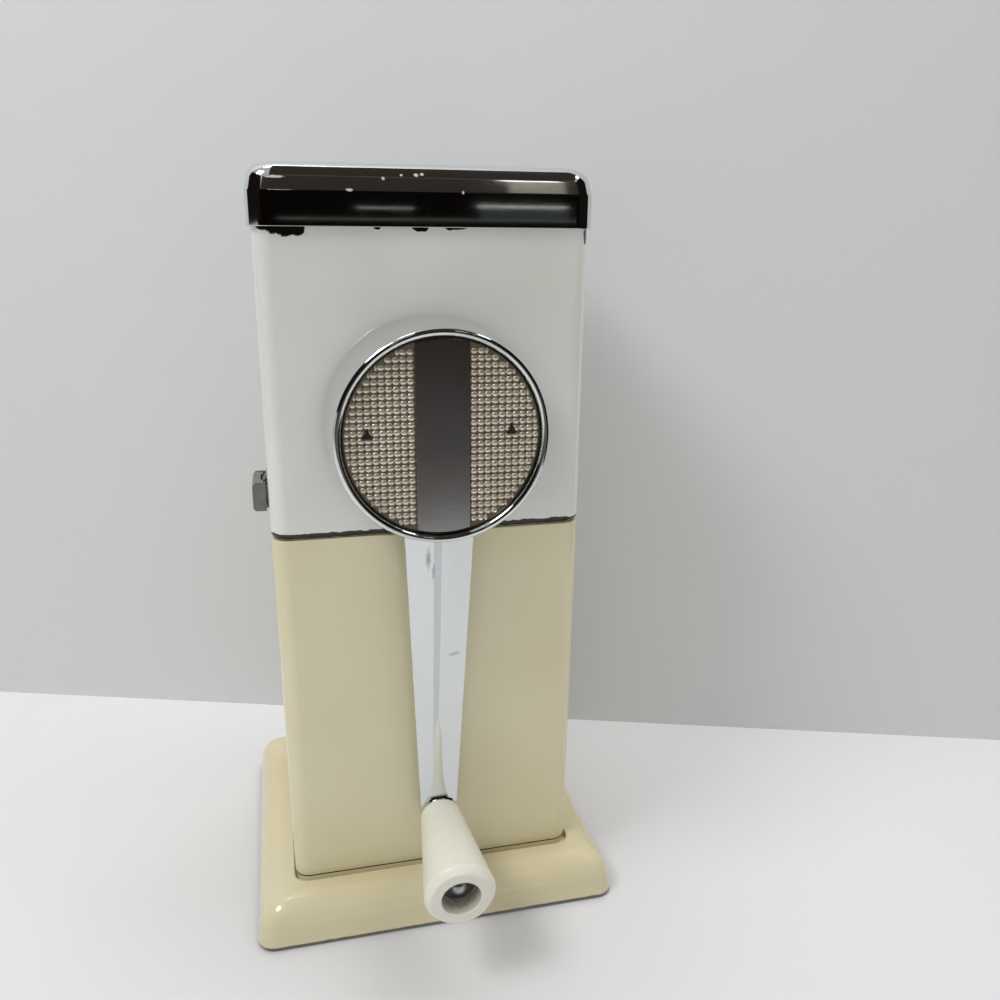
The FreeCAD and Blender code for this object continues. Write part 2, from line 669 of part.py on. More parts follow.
def make_rotor_wheel(number):
    """Wheel with pointed teeth that crush in both turning directions."""
    y = (number - (wheel_count + 1) / 2) * wheel_pitch
    y0, y1 = y - wheel_thickness / 2, y + wheel_thickness / 2
    points = []
    for tooth in range(wheel_teeth):
        middle = 360 * tooth / wheel_teeth + 90 + (number - 1) * 30
        for turn, radius in ((-42, wheel_root_radius), (-24, wheel_root_radius + 2.0), (-4.5, wheel_radius),
                             (4.5, wheel_radius), (24, wheel_root_radius + 2.0), (42, wheel_root_radius)):
            a = math.radians(middle + turn)
            points.append((radius * math.cos(a), shaft_height + radius * math.sin(a)))
    wheel = polygon_y(points, y0, y1)
    tips = [e for e in wheel.Edges if e.CenterOfMass.distanceToPoint(Vector(0, y, shaft_height)) > wheel_radius - 1
            and e.Length < wheel_thickness]
    wheel = wheel.makeChamfer(1.0, [e for e in tips if abs(abs(e.CenterOfMass.y - y) - wheel_thickness / 2) < 0.01])
    return wheel.cut(hexagon_y(shaft_hex, y0 - 1, y1 + 1))


def make_rotor_spacer(number):
    y = gap_places[number - 1]
    reach = (wheel_pitch - wheel_thickness) / 2
    y0, y1 = max(y - reach, -chamber_half_depth + 0.6), min(y + reach, chamber_half_depth - 0.6)
    return rod_y(8.4, y0, y1).cut(hexagon_y(shaft_hex, y0 - 1, y1 + 1))


# ---- knob ----
def knob_frame(shape):
    """Places a shape built about the Y axis, growing to -Y from y = 0, on the arm's face."""
    shape.translate(Vector(0, 0, pivot_height))
    return arm_frame(shape)


knob_start = -0.8           # rear face of the knob, in front of the arm's ridge
knob_front = knob_start - knob_length
knob_edge = 2.0             # bevel of the knob's front edge


def make_knob():
    """Turned knob, slim at the arm and flaring to a bevelled front edge, with a counterbore for its axle's head."""
    knob = turned_y([(0, knob_start), (knob_rear_radius, knob_start),
                     (knob_front_radius, knob_front + knob_edge),
                     (knob_front_radius - knob_edge * 0.8, knob_front), (0, knob_front)], 0, 0)
    knob = knob.cut(rod_y(knob_bore_radius, knob_front - 1, bore_floor, 0, 0))
    return knob_frame(knob.cut(rod_y(2.4, knob_front, knob_start + 1, 0, 0)))


bore_floor = knob_front + knob_bore_depth


def make_knob_washer():
    washer = rod_y(4.8, bore_floor - 0.9, bore_floor - 0.1, 0, 0).cut(rod_y(2.45, -40, 0, 0, 0))
    return knob_frame(washer)


def make_knob_rivet():
    """Shouldered rivet: the knob turns on its thick part, and its thin end is fixed in the arm."""
    rivet = rod_y(2.3, bore_floor - 1.0, -knob_pad_height, 0, 0)
    rivet = rivet.fuse(rod_y(knob_axle_radius, -knob_pad_height - 0.1, arm_thickness + 0.6, 0, 0))
    head = turned_y([(0, bore_floor - 3.0), (1.6, bore_floor - 2.7), (2.8, bore_floor - 1.0), (0, bore_floor - 1.0)],
                    0, 0)
    return knob_frame(rivet.fuse(head))


# ---- write every piece ----
os.makedirs("parts", exist_ok=True)
save(make_base(), "base")
save(make_rubber_foot(), "rubber_foot")
save(make_base_screws(), "base_screws")
save(make_receptacle(), "receptacle")
save(make_head_shell(), "head_shell")
save(make_hopper_liner(), "hopper_liner")
save(make_plate(True), "front_plate")
save(make_plate(False), "rear_plate")
save(make_comb(-1, 9.6, gap_places), "fine_comb")
save(make_comb(1, 14.0, gap_places[::2]), "coarse_comb")
save(make_tie_bolts(), "tie_bolts")
save(make_tie_nuts(), "tie_nuts")
save(make_front_bushing(), "front_bushing")
save(make_rear_bushing(), "rear_bushing")
save(make_bearing_screws(), "bearing_screws")
save(make_catch_bracket(), "catch_bracket")
save(make_catch_pin(), "catch_pin")
save(make_catch_lever(), "catch_lever")
save(make_catch_spring(), "catch_spring")
save(make_body_hinge_leaf(), "body_hinge_leaf")
save(make_rivets(body_rivet_places, half_depth + leaf_sheet), "body_hinge_rivets")
save(make_hinge_pin(), "hinge_pin")
save(make_lid(), "lid")
save(make_lid_hinge_leaf(), "lid_hinge_leaf")
save(make_rivets(lid_rivet_places, lid_depth / 2 + leaf_sheet), "lid_hinge_rivets")
save(make_drive_shaft(), "drive_shaft")
for number in range(1, wheel_count + 1):
    save(make_rotor_wheel(number), "rotor_wheel_%d" % number)
for number in range(1, wheel_count + 2):
    save(make_rotor_spacer(number), "rotor_spacer_%d" % number)
save(make_crank(), "crank")
save(make_badge(), "badge")
save(make_badge_ring(), "badge_ring")
save(make_crank_screw(), "crank_screw")
save(make_crank_washer(), "crank_washer")
save(make_thrust_washer(), "thrust_washer")
save(make_knob(), "knob")
save(make_knob_washer(), "knob_washer")
save(make_knob_rivet(), "knob_rivet")
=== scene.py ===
import json
import math
import bpy
from mathutils import Matrix, Vector


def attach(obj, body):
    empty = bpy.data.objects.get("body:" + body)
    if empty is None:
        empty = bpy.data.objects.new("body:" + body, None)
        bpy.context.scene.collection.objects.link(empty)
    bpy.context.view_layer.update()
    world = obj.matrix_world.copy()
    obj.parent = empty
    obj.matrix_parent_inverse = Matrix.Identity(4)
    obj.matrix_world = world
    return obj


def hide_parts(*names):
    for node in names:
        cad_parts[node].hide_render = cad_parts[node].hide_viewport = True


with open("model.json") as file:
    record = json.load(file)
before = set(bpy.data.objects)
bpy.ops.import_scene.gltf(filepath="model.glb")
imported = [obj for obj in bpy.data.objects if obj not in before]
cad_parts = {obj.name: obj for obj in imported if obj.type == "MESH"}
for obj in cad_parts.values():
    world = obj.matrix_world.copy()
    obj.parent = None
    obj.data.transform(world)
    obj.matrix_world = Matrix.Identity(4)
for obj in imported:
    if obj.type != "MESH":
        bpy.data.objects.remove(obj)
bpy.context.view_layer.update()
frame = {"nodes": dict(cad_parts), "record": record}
nodes = frame["nodes"]
print("frame loaded:", len(nodes), "nodes")

mm = 0.001


# ---- small tools ----
def point(x, y, z):
    return Vector((x * mm, y * mm, z * mm))


def linear(colour):
    # sRGB hex to the linear values that shaders and lamps take
    values = [int(colour[i:i + 2], 16) / 255 for i in (1, 3, 5)]
    return tuple([v / 12.92 if v <= 0.04045 else ((v + 0.055) / 1.055) ** 2.4 for v in values] + [1.0])


def makeActive(piece):
    bpy.ops.object.select_all(action="DESELECT")
    piece.select_set(True)
    bpy.context.view_layer.objects.active = piece


def pick(piece, kind, test):
    # opens edit mode with the faces or edges picked by their middle and their normal or direction
    makeActive(piece)
    bpy.ops.object.mode_set(mode="EDIT")
    bpy.ops.mesh.select_mode(type=kind)
    bpy.ops.mesh.select_all(action="DESELECT")
    bpy.ops.object.mode_set(mode="OBJECT")
    mesh = piece.data
    if kind == "FACE":
        for face in mesh.polygons:
            face.select = bool(test(face.center / mm, face.normal))
    else:
        for edge in mesh.edges:
            start, end = (mesh.vertices[i].co for i in edge.vertices)
            edge.select = bool(test((start + end) / 2 / mm, (end - start).normalized()))
    bpy.ops.object.mode_set(mode="EDIT")


def leave():
    bpy.ops.object.mode_set(mode="OBJECT")


def bevelPicked(radius, segments):
    bpy.ops.mesh.bevel(offset=radius * mm, segments=segments, profile=0.5, affect="EDGES",
                       clamp_overlap=False)
    leave()


def roundUprights(piece, radius, segments):
    pick(piece, "EDGE", lambda middle, along: abs(along.z) > 0.99)
    bevelPicked(radius, segments)


def openUp(piece, test):
    # takes away the faces whose normal passes the test
    pick(piece, "FACE", lambda middle, normal: test(normal))
    bpy.ops.mesh.delete(type="FACE")
    leave()


def startBlock(name, low, high):
    low, high = Vector(low) * mm, Vector(high) * mm
    bpy.ops.object.select_all(action="DESELECT")
    bpy.ops.mesh.primitive_cube_add(size=1, location=(low + high) / 2, scale=high - low)
    piece = bpy.context.object
    piece.name = name
    bpy.ops.object.transform_apply(location=True, rotation=True, scale=True)
    return piece


def raiseTop(piece, rings, halfWide, halfDeep, up=1):
    # extrudes the top (or bottom) face ring by ring; each ring is (inset from the first outline, height)
    pick(piece, "FACE", lambda middle, normal: normal.z * up > 0.99)
    lastInset, lastHeight = rings[0]
    for inset, height in rings[1:]:
        bpy.ops.mesh.extrude_region_move(TRANSFORM_OT_translate={"value": (0, 0, (height - lastHeight) * mm)})
        if inset != lastInset:
            bpy.ops.transform.resize(value=((halfWide - inset) / (halfWide - lastInset),
                                            (halfDeep - inset) / (halfDeep - lastInset), 1),
                                     center_override=(0, 0, height * mm))
        lastInset, lastHeight = inset, height
    leave()


def modify(piece, kind, **settings):
    makeActive(piece)
    bpy.ops.object.modifier_add(type=kind)
    modifier = piece.modifiers[-1]
    for key, value in settings.items():
        setattr(modifier, key, value)
    bpy.ops.object.modifier_apply(modifier=modifier.name)


def bevelSharp(piece, width, segments):
    # rounds the edges that turn by more than 40 degrees
    modify(piece, "BEVEL", width=width * mm, segments=segments, limit_method="ANGLE",
           angle_limit=math.radians(40))


def cutWith(piece, cutter, operation="DIFFERENCE"):
    modify(piece, "BOOLEAN", operation=operation, solver="EXACT", object=cutter)
    bpy.data.objects.remove(cutter)


def cutterRod(radius, start, end, vertices=64):
    start, end = Vector(start) * mm, Vector(end) * mm
    bpy.ops.object.select_all(action="DESELECT")
    bpy.ops.mesh.primitive_cylinder_add(vertices=vertices, radius=radius * mm, depth=(end - start).length,
                                        location=(start + end) / 2,
                                        rotation=(end - start).to_track_quat("Z", "Y").to_euler())
    piece = bpy.context.object
    bpy.ops.object.transform_apply(location=True, rotation=True, scale=True)
    return piece


def rounded(corners, segments):
    # a profile of (radius, place, rounding) becomes plain points, each rounding an arc
    made = []
    for i, (radius, place, rounding) in enumerate(corners):
        here = Vector((radius, place))
        if not rounding or i in (0, len(corners) - 1):
            made.append(here)
            continue
        toLast = (Vector(corners[i - 1][:2]) - here).normalized()
        toNext = (Vector(corners[i + 1][:2]) - here).normalized()
        half = toLast.angle(toNext) / 2
        reach = rounding / math.tan(half)
        centre = here + (toLast + toNext).normalized() * rounding / math.sin(half)
        start, end = here + toLast * reach - centre, here + toNext * reach - centre
        turn = start.angle_signed(end)
        for k in range(segments + 1):
            angle = -turn * k / segments
            made.append(centre + Vector((start.x * math.cos(angle) - start.y * math.sin(angle),
                                         start.x * math.sin(angle) + start.y * math.cos(angle))))
    return made


def traceOutline(name, points):
    # one point is extruded from corner to corner; the points are in millimetres
    bpy.ops.object.select_all(action="DESELECT")
    bpy.ops.mesh.primitive_plane_add(size=mm, location=Vector(points[0]) * mm)
    piece = bpy.context.object
    piece.name = name
    bpy.ops.object.transform_apply(location=True, rotation=True, scale=True)
    bpy.ops.object.mode_set(mode="EDIT")
    bpy.ops.mesh.select_mode(type="VERT")
    bpy.ops.mesh.select_all(action="SELECT")
    bpy.ops.mesh.merge(type="CENTER")
    for last, following in zip(points, points[1:]):
        step = (Vector(following) - Vector(last)) * mm
        bpy.ops.mesh.extrude_region_move(TRANSFORM_OT_translate={"value": step})
    leave()
    return piece


def fillAndExtrude(piece, step):
    # a traced outline is closed to a face and drawn out into a solid
    makeActive(piece)
    bpy.ops.object.mode_set(mode="EDIT")
    bpy.ops.mesh.select_all(action="SELECT")
    bpy.ops.mesh.edge_face_add()
    bpy.ops.mesh.extrude_region_move(TRANSFORM_OT_translate={"value": Vector(step) * mm})
    bpy.ops.mesh.select_all(action="SELECT")
    bpy.ops.mesh.normals_make_consistent(inside=False)
    leave()


def turnedPiece(name, profile, steps):
    # turned about the Y axis through the origin, from a profile of (radius, y)
    piece = traceOutline(name, [(radius, y, 0) for radius, y in profile])
    makeActive(piece)
    bpy.ops.object.mode_set(mode="EDIT")
    bpy.ops.mesh.select_all(action="SELECT")
    bpy.ops.mesh.spin(steps=steps, angle=2 * math.pi, center=(0, 0, 0), axis=(0, 1, 0))
    bpy.ops.mesh.select_all(action="SELECT")
    bpy.ops.mesh.remove_doubles(threshold=0.003 * mm)
    bpy.ops.mesh.normals_make_consistent(inside=False)
    leave()
    return piece


def moveMesh(piece, matrix):
    piece.data.transform(matrix)
    piece.data.update()


def joinInto(piece, others):
    bpy.ops.object.select_all(action="DESELECT")
    for other in others + [piece]:
        other.select_set(True)
    bpy.context.view_layer.objects.active = piece
    bpy.ops.object.join()


def finishPiece(piece, material, body, replaced=(), angle=38):
    makeActive(piece)
    bpy.ops.object.shade_smooth_by_angle(angle=math.radians(angle))
    modify(piece, "WEIGHTED_NORMAL", keep_sharp=True, weight=60)
    piece.data.materials.clear()
    piece.data.materials.append(material)
    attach(piece, body)
    if replaced:
        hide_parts(*replaced)
    print("made", piece.name, len(piece.data.polygons), "faces")


# ---- materials ----
def newMaterial(name):
    material = bpy.data.materials.new(name)
    material.use_nodes = True
    tree = material.node_tree
    tree.nodes.clear()
    return material, tree


def fillRamp(ramp, stops):
    while len(ramp.elements) < len(stops):
        ramp.elements.new(0.5)
    for element, (place, colour) in zip(ramp.elements, stops):
        element.position = place
        element.color = linear(colour)


def addNode(tree, kind, settings=None, links=None):
    # settings are a ramp's stops, the node's own values or its sockets' values;
    # links are socket: (node, output)
    node = tree.nodes.new(kind)
    for key, value in (settings or {}).items():
        if key == "stops":
            fillRamp(node.color_ramp, value)
        elif hasattr(node, str(key)) and not isinstance(key, int):
            setattr(node, key, value)
        else:
            node.inputs[key].default_value = value
    for key, (source, output) in (links or {}).items():
        tree.links.new(source.outputs[output], node.inputs[key])
    return node


def levelBand(height, half):
    # a spot so wide that only its height counts: a band all round the object
    return (0, 0, height), (400, 400, half)


def addSpots(tree, place, spots, ragged, grainMm, soft=0.06):
    # 1 inside ragged spots; each spot is its middle (x, y, z) and its half sizes, in millimetres
    here = (place, "Object")
    grains = addNode(tree, "ShaderNodeTexNoise", {"Scale": 1000 / grainMm, "Detail": 3.0}, {"Vector": here})
    nearest = None
    for middle, half in spots:
        shifted = addNode(tree, "ShaderNodeVectorMath", {"operation": "SUBTRACT", 1: point(*middle)},
                          {0: here})
        scaled = addNode(tree, "ShaderNodeVectorMath",
                         {"operation": "MULTIPLY", 1: [1000 / size for size in half]},
                         {0: (shifted, "Vector")})
        length = addNode(tree, "ShaderNodeVectorMath", {"operation": "LENGTH"}, {0: (scaled, "Vector")})
        far = (length, "Value")
        if nearest:
            nearer = addNode(tree, "ShaderNodeMath", {"operation": "MINIMUM"}, {0: nearest, 1: far})
            far = (nearer, "Value")
        nearest = far
    frayed = addNode(tree, "ShaderNodeMath", {"operation": "MULTIPLY_ADD", 1: ragged},
                     {0: (grains, "Fac"), 2: nearest})
    edge = 1 + ragged / 2
    mask = addNode(tree, "ShaderNodeMapRange",
                   {"From Min": edge - soft, "From Max": edge + soft, "To Min": 1.0, "To Max": 0.0},
                   {"Value": (frayed, "Value")})
    return mask, "Result"


def mixColour(tree, mask, below, above):
    # the colour above shows where the mask is 1
    return addNode(tree, "ShaderNodeMix", {"data_type": "RGBA", 7: linear(above)}, {0: mask, 6: below}), 2


# enamel fired on sheet steel: glassy, very slightly wavy; near black under the lid and along the shell's
# lower edge:
# chips of its black ground coat, and painted shade under the lid's edge and in the joint over the receptacle
enamelLook = {"colour": "#E6E6E1", "aged": "#DAD9CE", "chipAndShade": "#14110F", "rough": 0.16, "waveMm": 9,
              "agedMm": 60, "chipAndShadeRagged": 1.3, "chipAndShadeGrainMm": 2.6}
enamelChipsAndShade = [((-38.3, -41, 218.8), (5.4, 6, 2.1)), ((-43.2, -40, 219.3), (2.4, 6, 1.2)),
               ((-13.9, -41, 219), (1, 6, 0.6)), ((-2.2, -41, 219.1), (2.2, 6, 1.1)),
               ((7.5, -41, 219.2), (3, 6, 0.9)), ((46.2, -38, 217.6), (1.6, 4, 2.6)),
               levelBand(132.4, 1.05)]


def makeEnamel():
    look = enamelLook
    material, tree = newMaterial("vitreousEnamelOnSteel")
    place = addNode(tree, "ShaderNodeTexCoord")
    ageing = addNode(tree, "ShaderNodeTexNoise", {"Scale": 1000 / look["agedMm"], "Detail": 2.0},
                     {"Vector": (place, "Object")})
    colour = addNode(tree, "ShaderNodeValToRGB", {"stops": [(0.42, look["colour"]), (0.75, look["aged"])]},
                     {"Fac": (ageing, "Fac")})
    # near-black spots under the lid and a band along the lower edge: chipped ground coat and painted shade
    chipsAndShade = addSpots(tree, place, enamelChipsAndShade, look["chipAndShadeRagged"], look["chipAndShadeGrainMm"])
    chippedAndShaded = mixColour(tree, chipsAndShade, (colour, "Color"), look["chipAndShade"])
    wave = addNode(tree, "ShaderNodeTexNoise", {"Scale": 1000 / look["waveMm"], "Detail": 1.0},
                   {"Vector": (place, "Object")})
    bump = addNode(tree, "ShaderNodeBump", {"Strength": 0.05, "Distance": 0.4 * mm},
                   {"Height": (wave, "Fac")})
    shader = addNode(tree, "ShaderNodeBsdfPrincipled",
                     {"Roughness": look["rough"], "IOR": 1.5, "Coat Weight": 0.3, "Coat Roughness": 0.05},
                     {"Base Color": chippedAndShaded, "Normal": (bump, "Normal")})
    addNode(tree, "ShaderNodeOutputMaterial", None, {"Surface": (shader, 0)})
    return material


# compression moulded cream plastic: even and glossy, slightly warmer where it has yellowed,
# with darker bands that mix old kitchen dirt and painted shade
creamLook = {"rough": 0.15, "waveMm": 14, "yellowMm": 80, "dirtAndShadeGrainMm": 3}


def makeCream(name, colour, yellowed, dirtAndShade, darkBands, ragged):
    look = creamLook
    material, tree = newMaterial(name)
    place = addNode(tree, "ShaderNodeTexCoord")
    ageing = addNode(tree, "ShaderNodeTexNoise", {"Scale": 1000 / look["yellowMm"], "Detail": 2.0},
                     {"Vector": (place, "Object")})
    tone = addNode(tree, "ShaderNodeValToRGB", {"stops": [(0.38, colour), (0.72, yellowed)]},
                   {"Fac": (ageing, "Fac")})
    # the darker bands are dirt and painted shade
    soiledAndShaded = mixColour(tree, addSpots(tree, place, darkBands, ragged, look["dirtAndShadeGrainMm"]), (tone, "Color"), dirtAndShade)
    wave = addNode(tree, "ShaderNodeTexNoise", {"Scale": 1000 / look["waveMm"], "Detail": 1.5},
                   {"Vector": (place, "Object")})
    bump = addNode(tree, "ShaderNodeBump", {"Strength": 0.05, "Distance": 0.5 * mm},
                   {"Height": (wave, "Fac")})
    shader = addNode(tree, "ShaderNodeBsdfPrincipled",
                     {"Roughness": look["rough"], "IOR": 1.52, "Coat Weight": 0.2, "Coat Roughness": 0.05},
                     {"Base Color": soiledAndShaded, "Normal": (bump, "Normal")})
    addNode(tree, "ShaderNodeOutputMaterial", None, {"Surface": (shader, 0)})
    return material


# bright chromium plate: a clear mirror with faint wiping smears, and a few marks that have lost their shine
chromeLook = {"rough": 0.03, "smear": 0.05, "smearMm": 12, "markRough": 0.6, "markRagged": 1.6,
              "markGrainMm": 1.1}
armMarks = [((-3.6, -58, 128.6), (0.5, 9, 2.2)), ((-2.2, -58, 124.5), (0.35, 9, 1.6)),
            ((4.3, -55, 96.5), (1.2, 9, 0.4))]
lidMarks = [((-12, -42, 231.4), (0.45, 3, 0.4)), ((-7.1, -42, 232.3), (0.4, 3, 0.25)),
            ((-3.1, -42, 232.4), (0.5, 3, 0.35)), ((-1.5, -42, 232.6), (0.5, 3, 0.3)),
            ((9.5, -42, 228.2), (0.3, 3, 0.35)), ((-39.8, -42, 231.3), (2.2, 3, 0.3)),
            ((-21, -42, 228.3), (0.8, 3, 0.35))]


def makeChrome(name, colour, marks, markColour, soft):
    look = chromeLook
    material, tree = newMaterial(name)
    place = addNode(tree, "ShaderNodeTexCoord")
    smears = addNode(tree, "ShaderNodeTexNoise",
                     {"Scale": 1000 / look["smearMm"], "Detail": 3.0, "Roughness": 0.6},
                     {"Vector": (place, "Object")})
    roughness = addNode(tree, "ShaderNodeMapRange",
                        {"To Min": look["rough"], "To Max": look["rough"] + look["smear"]},
                        {"Value": (smears, "Fac")})
    plate = addNode(tree, "ShaderNodeBsdfPrincipled", {"Base Color": linear(colour), "Metallic": 1.0},
                    {"Roughness": (roughness, "Result")})
    dull = addNode(tree, "ShaderNodeBsdfPrincipled",
                   {"Base Color": linear(markColour), "Roughness": look["markRough"]})
    marked = addSpots(tree, place, marks, look["markRagged"], look["markGrainMm"], soft)
    shader = addNode(tree, "ShaderNodeMixShader", None, {0: marked, 1: (plate, 0), 2: (dull, 0)})
    addNode(tree, "ShaderNodeOutputMaterial", None, {"Surface": (shader, 0)})
    return material


# plain worked metals and plastics of the smaller pieces: a base colour whose mottling is twelve grains
# wide, a grain bump, and soft grime with painted shade in the places that are given
plainLook = {"mottleGrains": 12, "ior": 1.5, "grimeAndShade": "#3B362E", "grimeAndShadeRagged": 0.5, "grimeAndShadeGrainMm": 1.5,
             "grimeAndShadeSoft": 0.35}


def makePlain(name, colour, darker, rough, metallic=0.0, grainMm=0.6, grain=0.1, grimyAndShaded=()):
    look = plainLook
    material, tree = newMaterial(name)
    place = addNode(tree, "ShaderNodeTexCoord")
    mottle = addNode(tree, "ShaderNodeTexNoise",
                     {"Scale": 1000 / (grainMm * look["mottleGrains"]), "Detail": 4.0},
                     {"Vector": (place, "Object")})
    ramp = addNode(tree, "ShaderNodeValToRGB", {"stops": [(0.35, colour), (0.75, darker)]},
                   {"Fac": (mottle, "Fac")})
    tone = (ramp, "Color")
    if grimyAndShaded:
        # grime and painted shade in the given places
        grimeAndShade = addSpots(tree, place, grimyAndShaded, look["grimeAndShadeRagged"], look["grimeAndShadeGrainMm"], look["grimeAndShadeSoft"])
        tone = mixColour(tree, grimeAndShade, tone, look["grimeAndShade"])
    grains = addNode(tree, "ShaderNodeTexNoise", {"Scale": 1000 / grainMm, "Detail": 3.0},
                     {"Vector": (place, "Object")})
    bump = addNode(tree, "ShaderNodeBump", {"Strength": grain, "Distance": 0.1 * mm},
                   {"Height": (grains, "Fac")})
    settings = {"Roughness": rough, "Metallic": metallic}
    if not metallic:
        settings["IOR"] = look["ior"]
    shader = addNode(tree, "ShaderNodeBsdfPrincipled", settings,
                     {"Base Color": tone, "Normal": (bump, "Normal")})
    addNode(tree, "ShaderNodeOutputMaterial", None, {"Surface": (shader, 0)})
    return material


enamel = makeEnamel()
# dark dirt and painted shade in the joint where the head meets the receptacle, and a thin dark line where the
# receptacle stands in the base
cream = makeCream("mouldedCreamUrea", "#E0D8B6", "#D6CBA2", "#2A241B",
                  [levelBand(132.7, 1.2), levelBand(15, 0.22)], 0.3)
# the base is a little yellower, and darker along the table: dirt and painted contact shade
baseCream = makeCream("mouldedCreamUreaBase", "#DBD1AF", "#D2C7A1", "#6B6250", [levelBand(0.6, 0.9)], 0.5)
chrome = makeChrome("brightChromePlate", "#E1E4E3", armMarks, "#AEB4B6", 0.9)
lidChrome = makeChrome("stampedChromePlateOfTheLid", "#E2E5E3", lidMarks, "#C9C5BF", 0.3)
# brassed tinplate pressed into beads: a soft warm glint on every bead
beadMetal = makePlain("embossedBrassedTinplate", "#EFE6D5", "#E2D5BD", 0.34, 0.8, 0.5, 0.03)
# brown lacquer between the beads: half matt, so that the beads stand out
groundPaint = makePlain("brownLacquerGround", "#6A5F4B", "#574D3C", 0.5, 0.0, 0.5, 0.1)
# the anodised band is a smooth grey mirror that darkens with the room
bandMetal = makePlain("anodisedGreyBand", "#A8A6A3", "#9D9B98", 0.18, 1.0, 1.0, 0.05)
# printed marks: flat black ink without shine
markBlack = makePlain("printedBlackMark", "#141210", "#1A1816", 0.65)
# brass ring painted dark: painted shade of the gap round the badge, a dark line with small glints
shadedBadgeRing = makePlain("brassRingWithPaintedGapShade", "#4A463F", "#2E2B27", 0.3, 0.9, 0.4, 0.05)
# turned ivory plastic: a soft shine, and old grime with painted shade deep in the knob's bore
ivory = makePlain("turnedIvoryPlastic", "#E9E7DA", "#E2DFCE", 0.3, 0.0, 1.5, 0.05,
                  [((0, -79.6, 35.8), (6.1, 3.6, 6.1))])
# rolled sheet steel: half dull grey with a fine grain
catchSteel = makePlain("greySheetSteel", "#8B8A88", "#7C7B79", 0.4, 0.6, 0.4, 0.2)
# zinc gone dull: pale grey with blurred reflections
zincSteel = makePlain("dulledZincOnSteel", "#A4A6A6", "#8C8E8E", 0.42, 1.0, 0.5, 0.1)
# washer steel painted dark: painted shade, the dark ring round the rivet's head deep in the bore
shadedWasherSteel = makePlain("washerSteelWithPaintedShade", "#6B6A68", "#595856", 0.5, 1.0, 0.5, 0.1)
# polished steel: one small blurred highlight on the rivet's dome
rivetSteel = makePlain("polishedRivetSteel", "#B9BABA", "#A2A3A3", 0.3, 1.0, 0.5, 0.1)
# sand cast aluminium: dull silver with a coarse grain
castMetal = makePlain("sandCastAluminium", "#AEB0B0", "#97999A", 0.5, 1.0, 0.5, 0.4)
# hot tinned iron: bright but a little uneven
tinned = makePlain("hotTinnedIron", "#C2C2BF", "#AFAFAB", 0.33, 1.0, 0.8, 0.2)
# sintered bronze: brown metal with fine pores
bronze = makePlain("sinteredBronze", "#A8814F", "#8F6C40", 0.45, 1.0, 0.3, 0.2)
# moulded rubber: nearly black and matt
rubber = makePlain("blackMouldedRubber", "#1B1A19", "#242220", 0.7, 0.0, 0.4, 0.2)
print("materials made")

slotMaterials = {"cream_moulding": cream, "white_enamel": enamel, "chrome_plate": chrome,
                 "badge_beads": beadMetal, "grey_steel": catchSteel, "zinc_steel": zincSteel,
                 "cast_aluminium": castMetal, "tinned_iron": tinned, "bronze": bronze,
                 "black_rubber": rubber, "ivory_plastic": ivory}
# the washer in the knob's bore is darker than the other pieces of its slot: painted shade
ownMaterials = {"knob_washer": shadedWasherSteel}
for part in frame["record"]["subparts"]:
    node = nodes[part["node"]]
    for index in range(len(node.data.materials)):
        node.data.materials[index] = ownMaterials.get(part["node"], slotMaterials[part["material_slot"]])


# ---- base ----
base = {"halfWide": 59.2, "halfDeep": 55.2, "bottom": 0.8, "slab": 0.6, "skirt": 6.0, "draft": 1.0,
        "play": 0.02, "shoulder": 9.0, "corner": 5.4, "seatGap": 0.2, "seatEdge": 0.3, "lip": 3.4,
        "shelf": 4.6, "rebate": 3.0, "skin": 10.2, "footEdge": 0.35, "footBand": 3.0}
body = {"halfWide": 46.9, "halfDeep": 41.0, "corner": 5.0, "draft": 0.6, "seat": 13.0}


def makeBase():
    bottom, slabTop, lip = base["bottom"], base["bottom"] + base["slab"], base["lip"]
    # the skirt leans in a little from its foot, so the foot is where the skirt is widest
    foot = base["draft"] * bottom / base["skirt"] + base["play"]
    wide, deep = base["halfWide"] - foot, base["halfDeep"] - foot
    piece = startBlock("flaredBase", (-wide, -deep, bottom), (wide, deep, slabTop))
    roundUprights(piece, base["corner"], 8)
    rings = [(0, slabTop), (base["draft"] - foot, base["skirt"])]
    for k in range(1, 13):
        angle = math.radians(90 * k / 12)
        rings.append((base["draft"] - foot + base["shoulder"] * (1 - math.cos(angle)),
                      base["skirt"] + base["shoulder"] * math.sin(angle)))
    top = rings[-1][1]
    # the seat that the receptacle stands in
    seatInset = wide - body["halfWide"] + body["draft"] - base["seatGap"]
    rings += [(seatInset - base["seatEdge"], top), (seatInset, top - base["seatEdge"]),
              (seatInset, body["seat"])]
    raiseTop(piece, rings, wide, deep)
    # the hollow underside, with the rebate of the rubber ring behind its lip
    shelfInset = lip + base["shelf"]
    raiseTop(piece, [(0, bottom), (lip, bottom), (lip, base["rebate"]), (shelfInset, base["rebate"]),
                     (shelfInset + 1, base["skin"])], wide, deep, up=-1)
    # only the foot's outer edge is rounded, which lies in a narrow band round the outline
    band = base["footBand"]
    pick(piece, "EDGE", lambda middle, along: abs(middle.z - bottom) < 0.01 and abs(along.z) < 0.1
         and (abs(middle.x) > wide - band or abs(middle.y) > deep - band))
    bevelPicked(base["footEdge"], 2)
    finishPiece(piece, baseCream, "base", ["base"], 30)


makeBase()

# ---- ice receptacle ----
bucket = {"top": 131.4, "rim": 0.5, "step": 1.5, "spigotTop": 137.0, "spigotEdge": 0.4, "spigotWall": 1.6,
          "floor": 22.6, "floorBend": [(0.6, 3.0), (1.5, 0.9), (3.5, 0.0)], "recess": 20.0, "wall": 2.6,
          "notchY": (-18.0, -6.0), "notchSill": 0.6, "notchReach": 5.0}


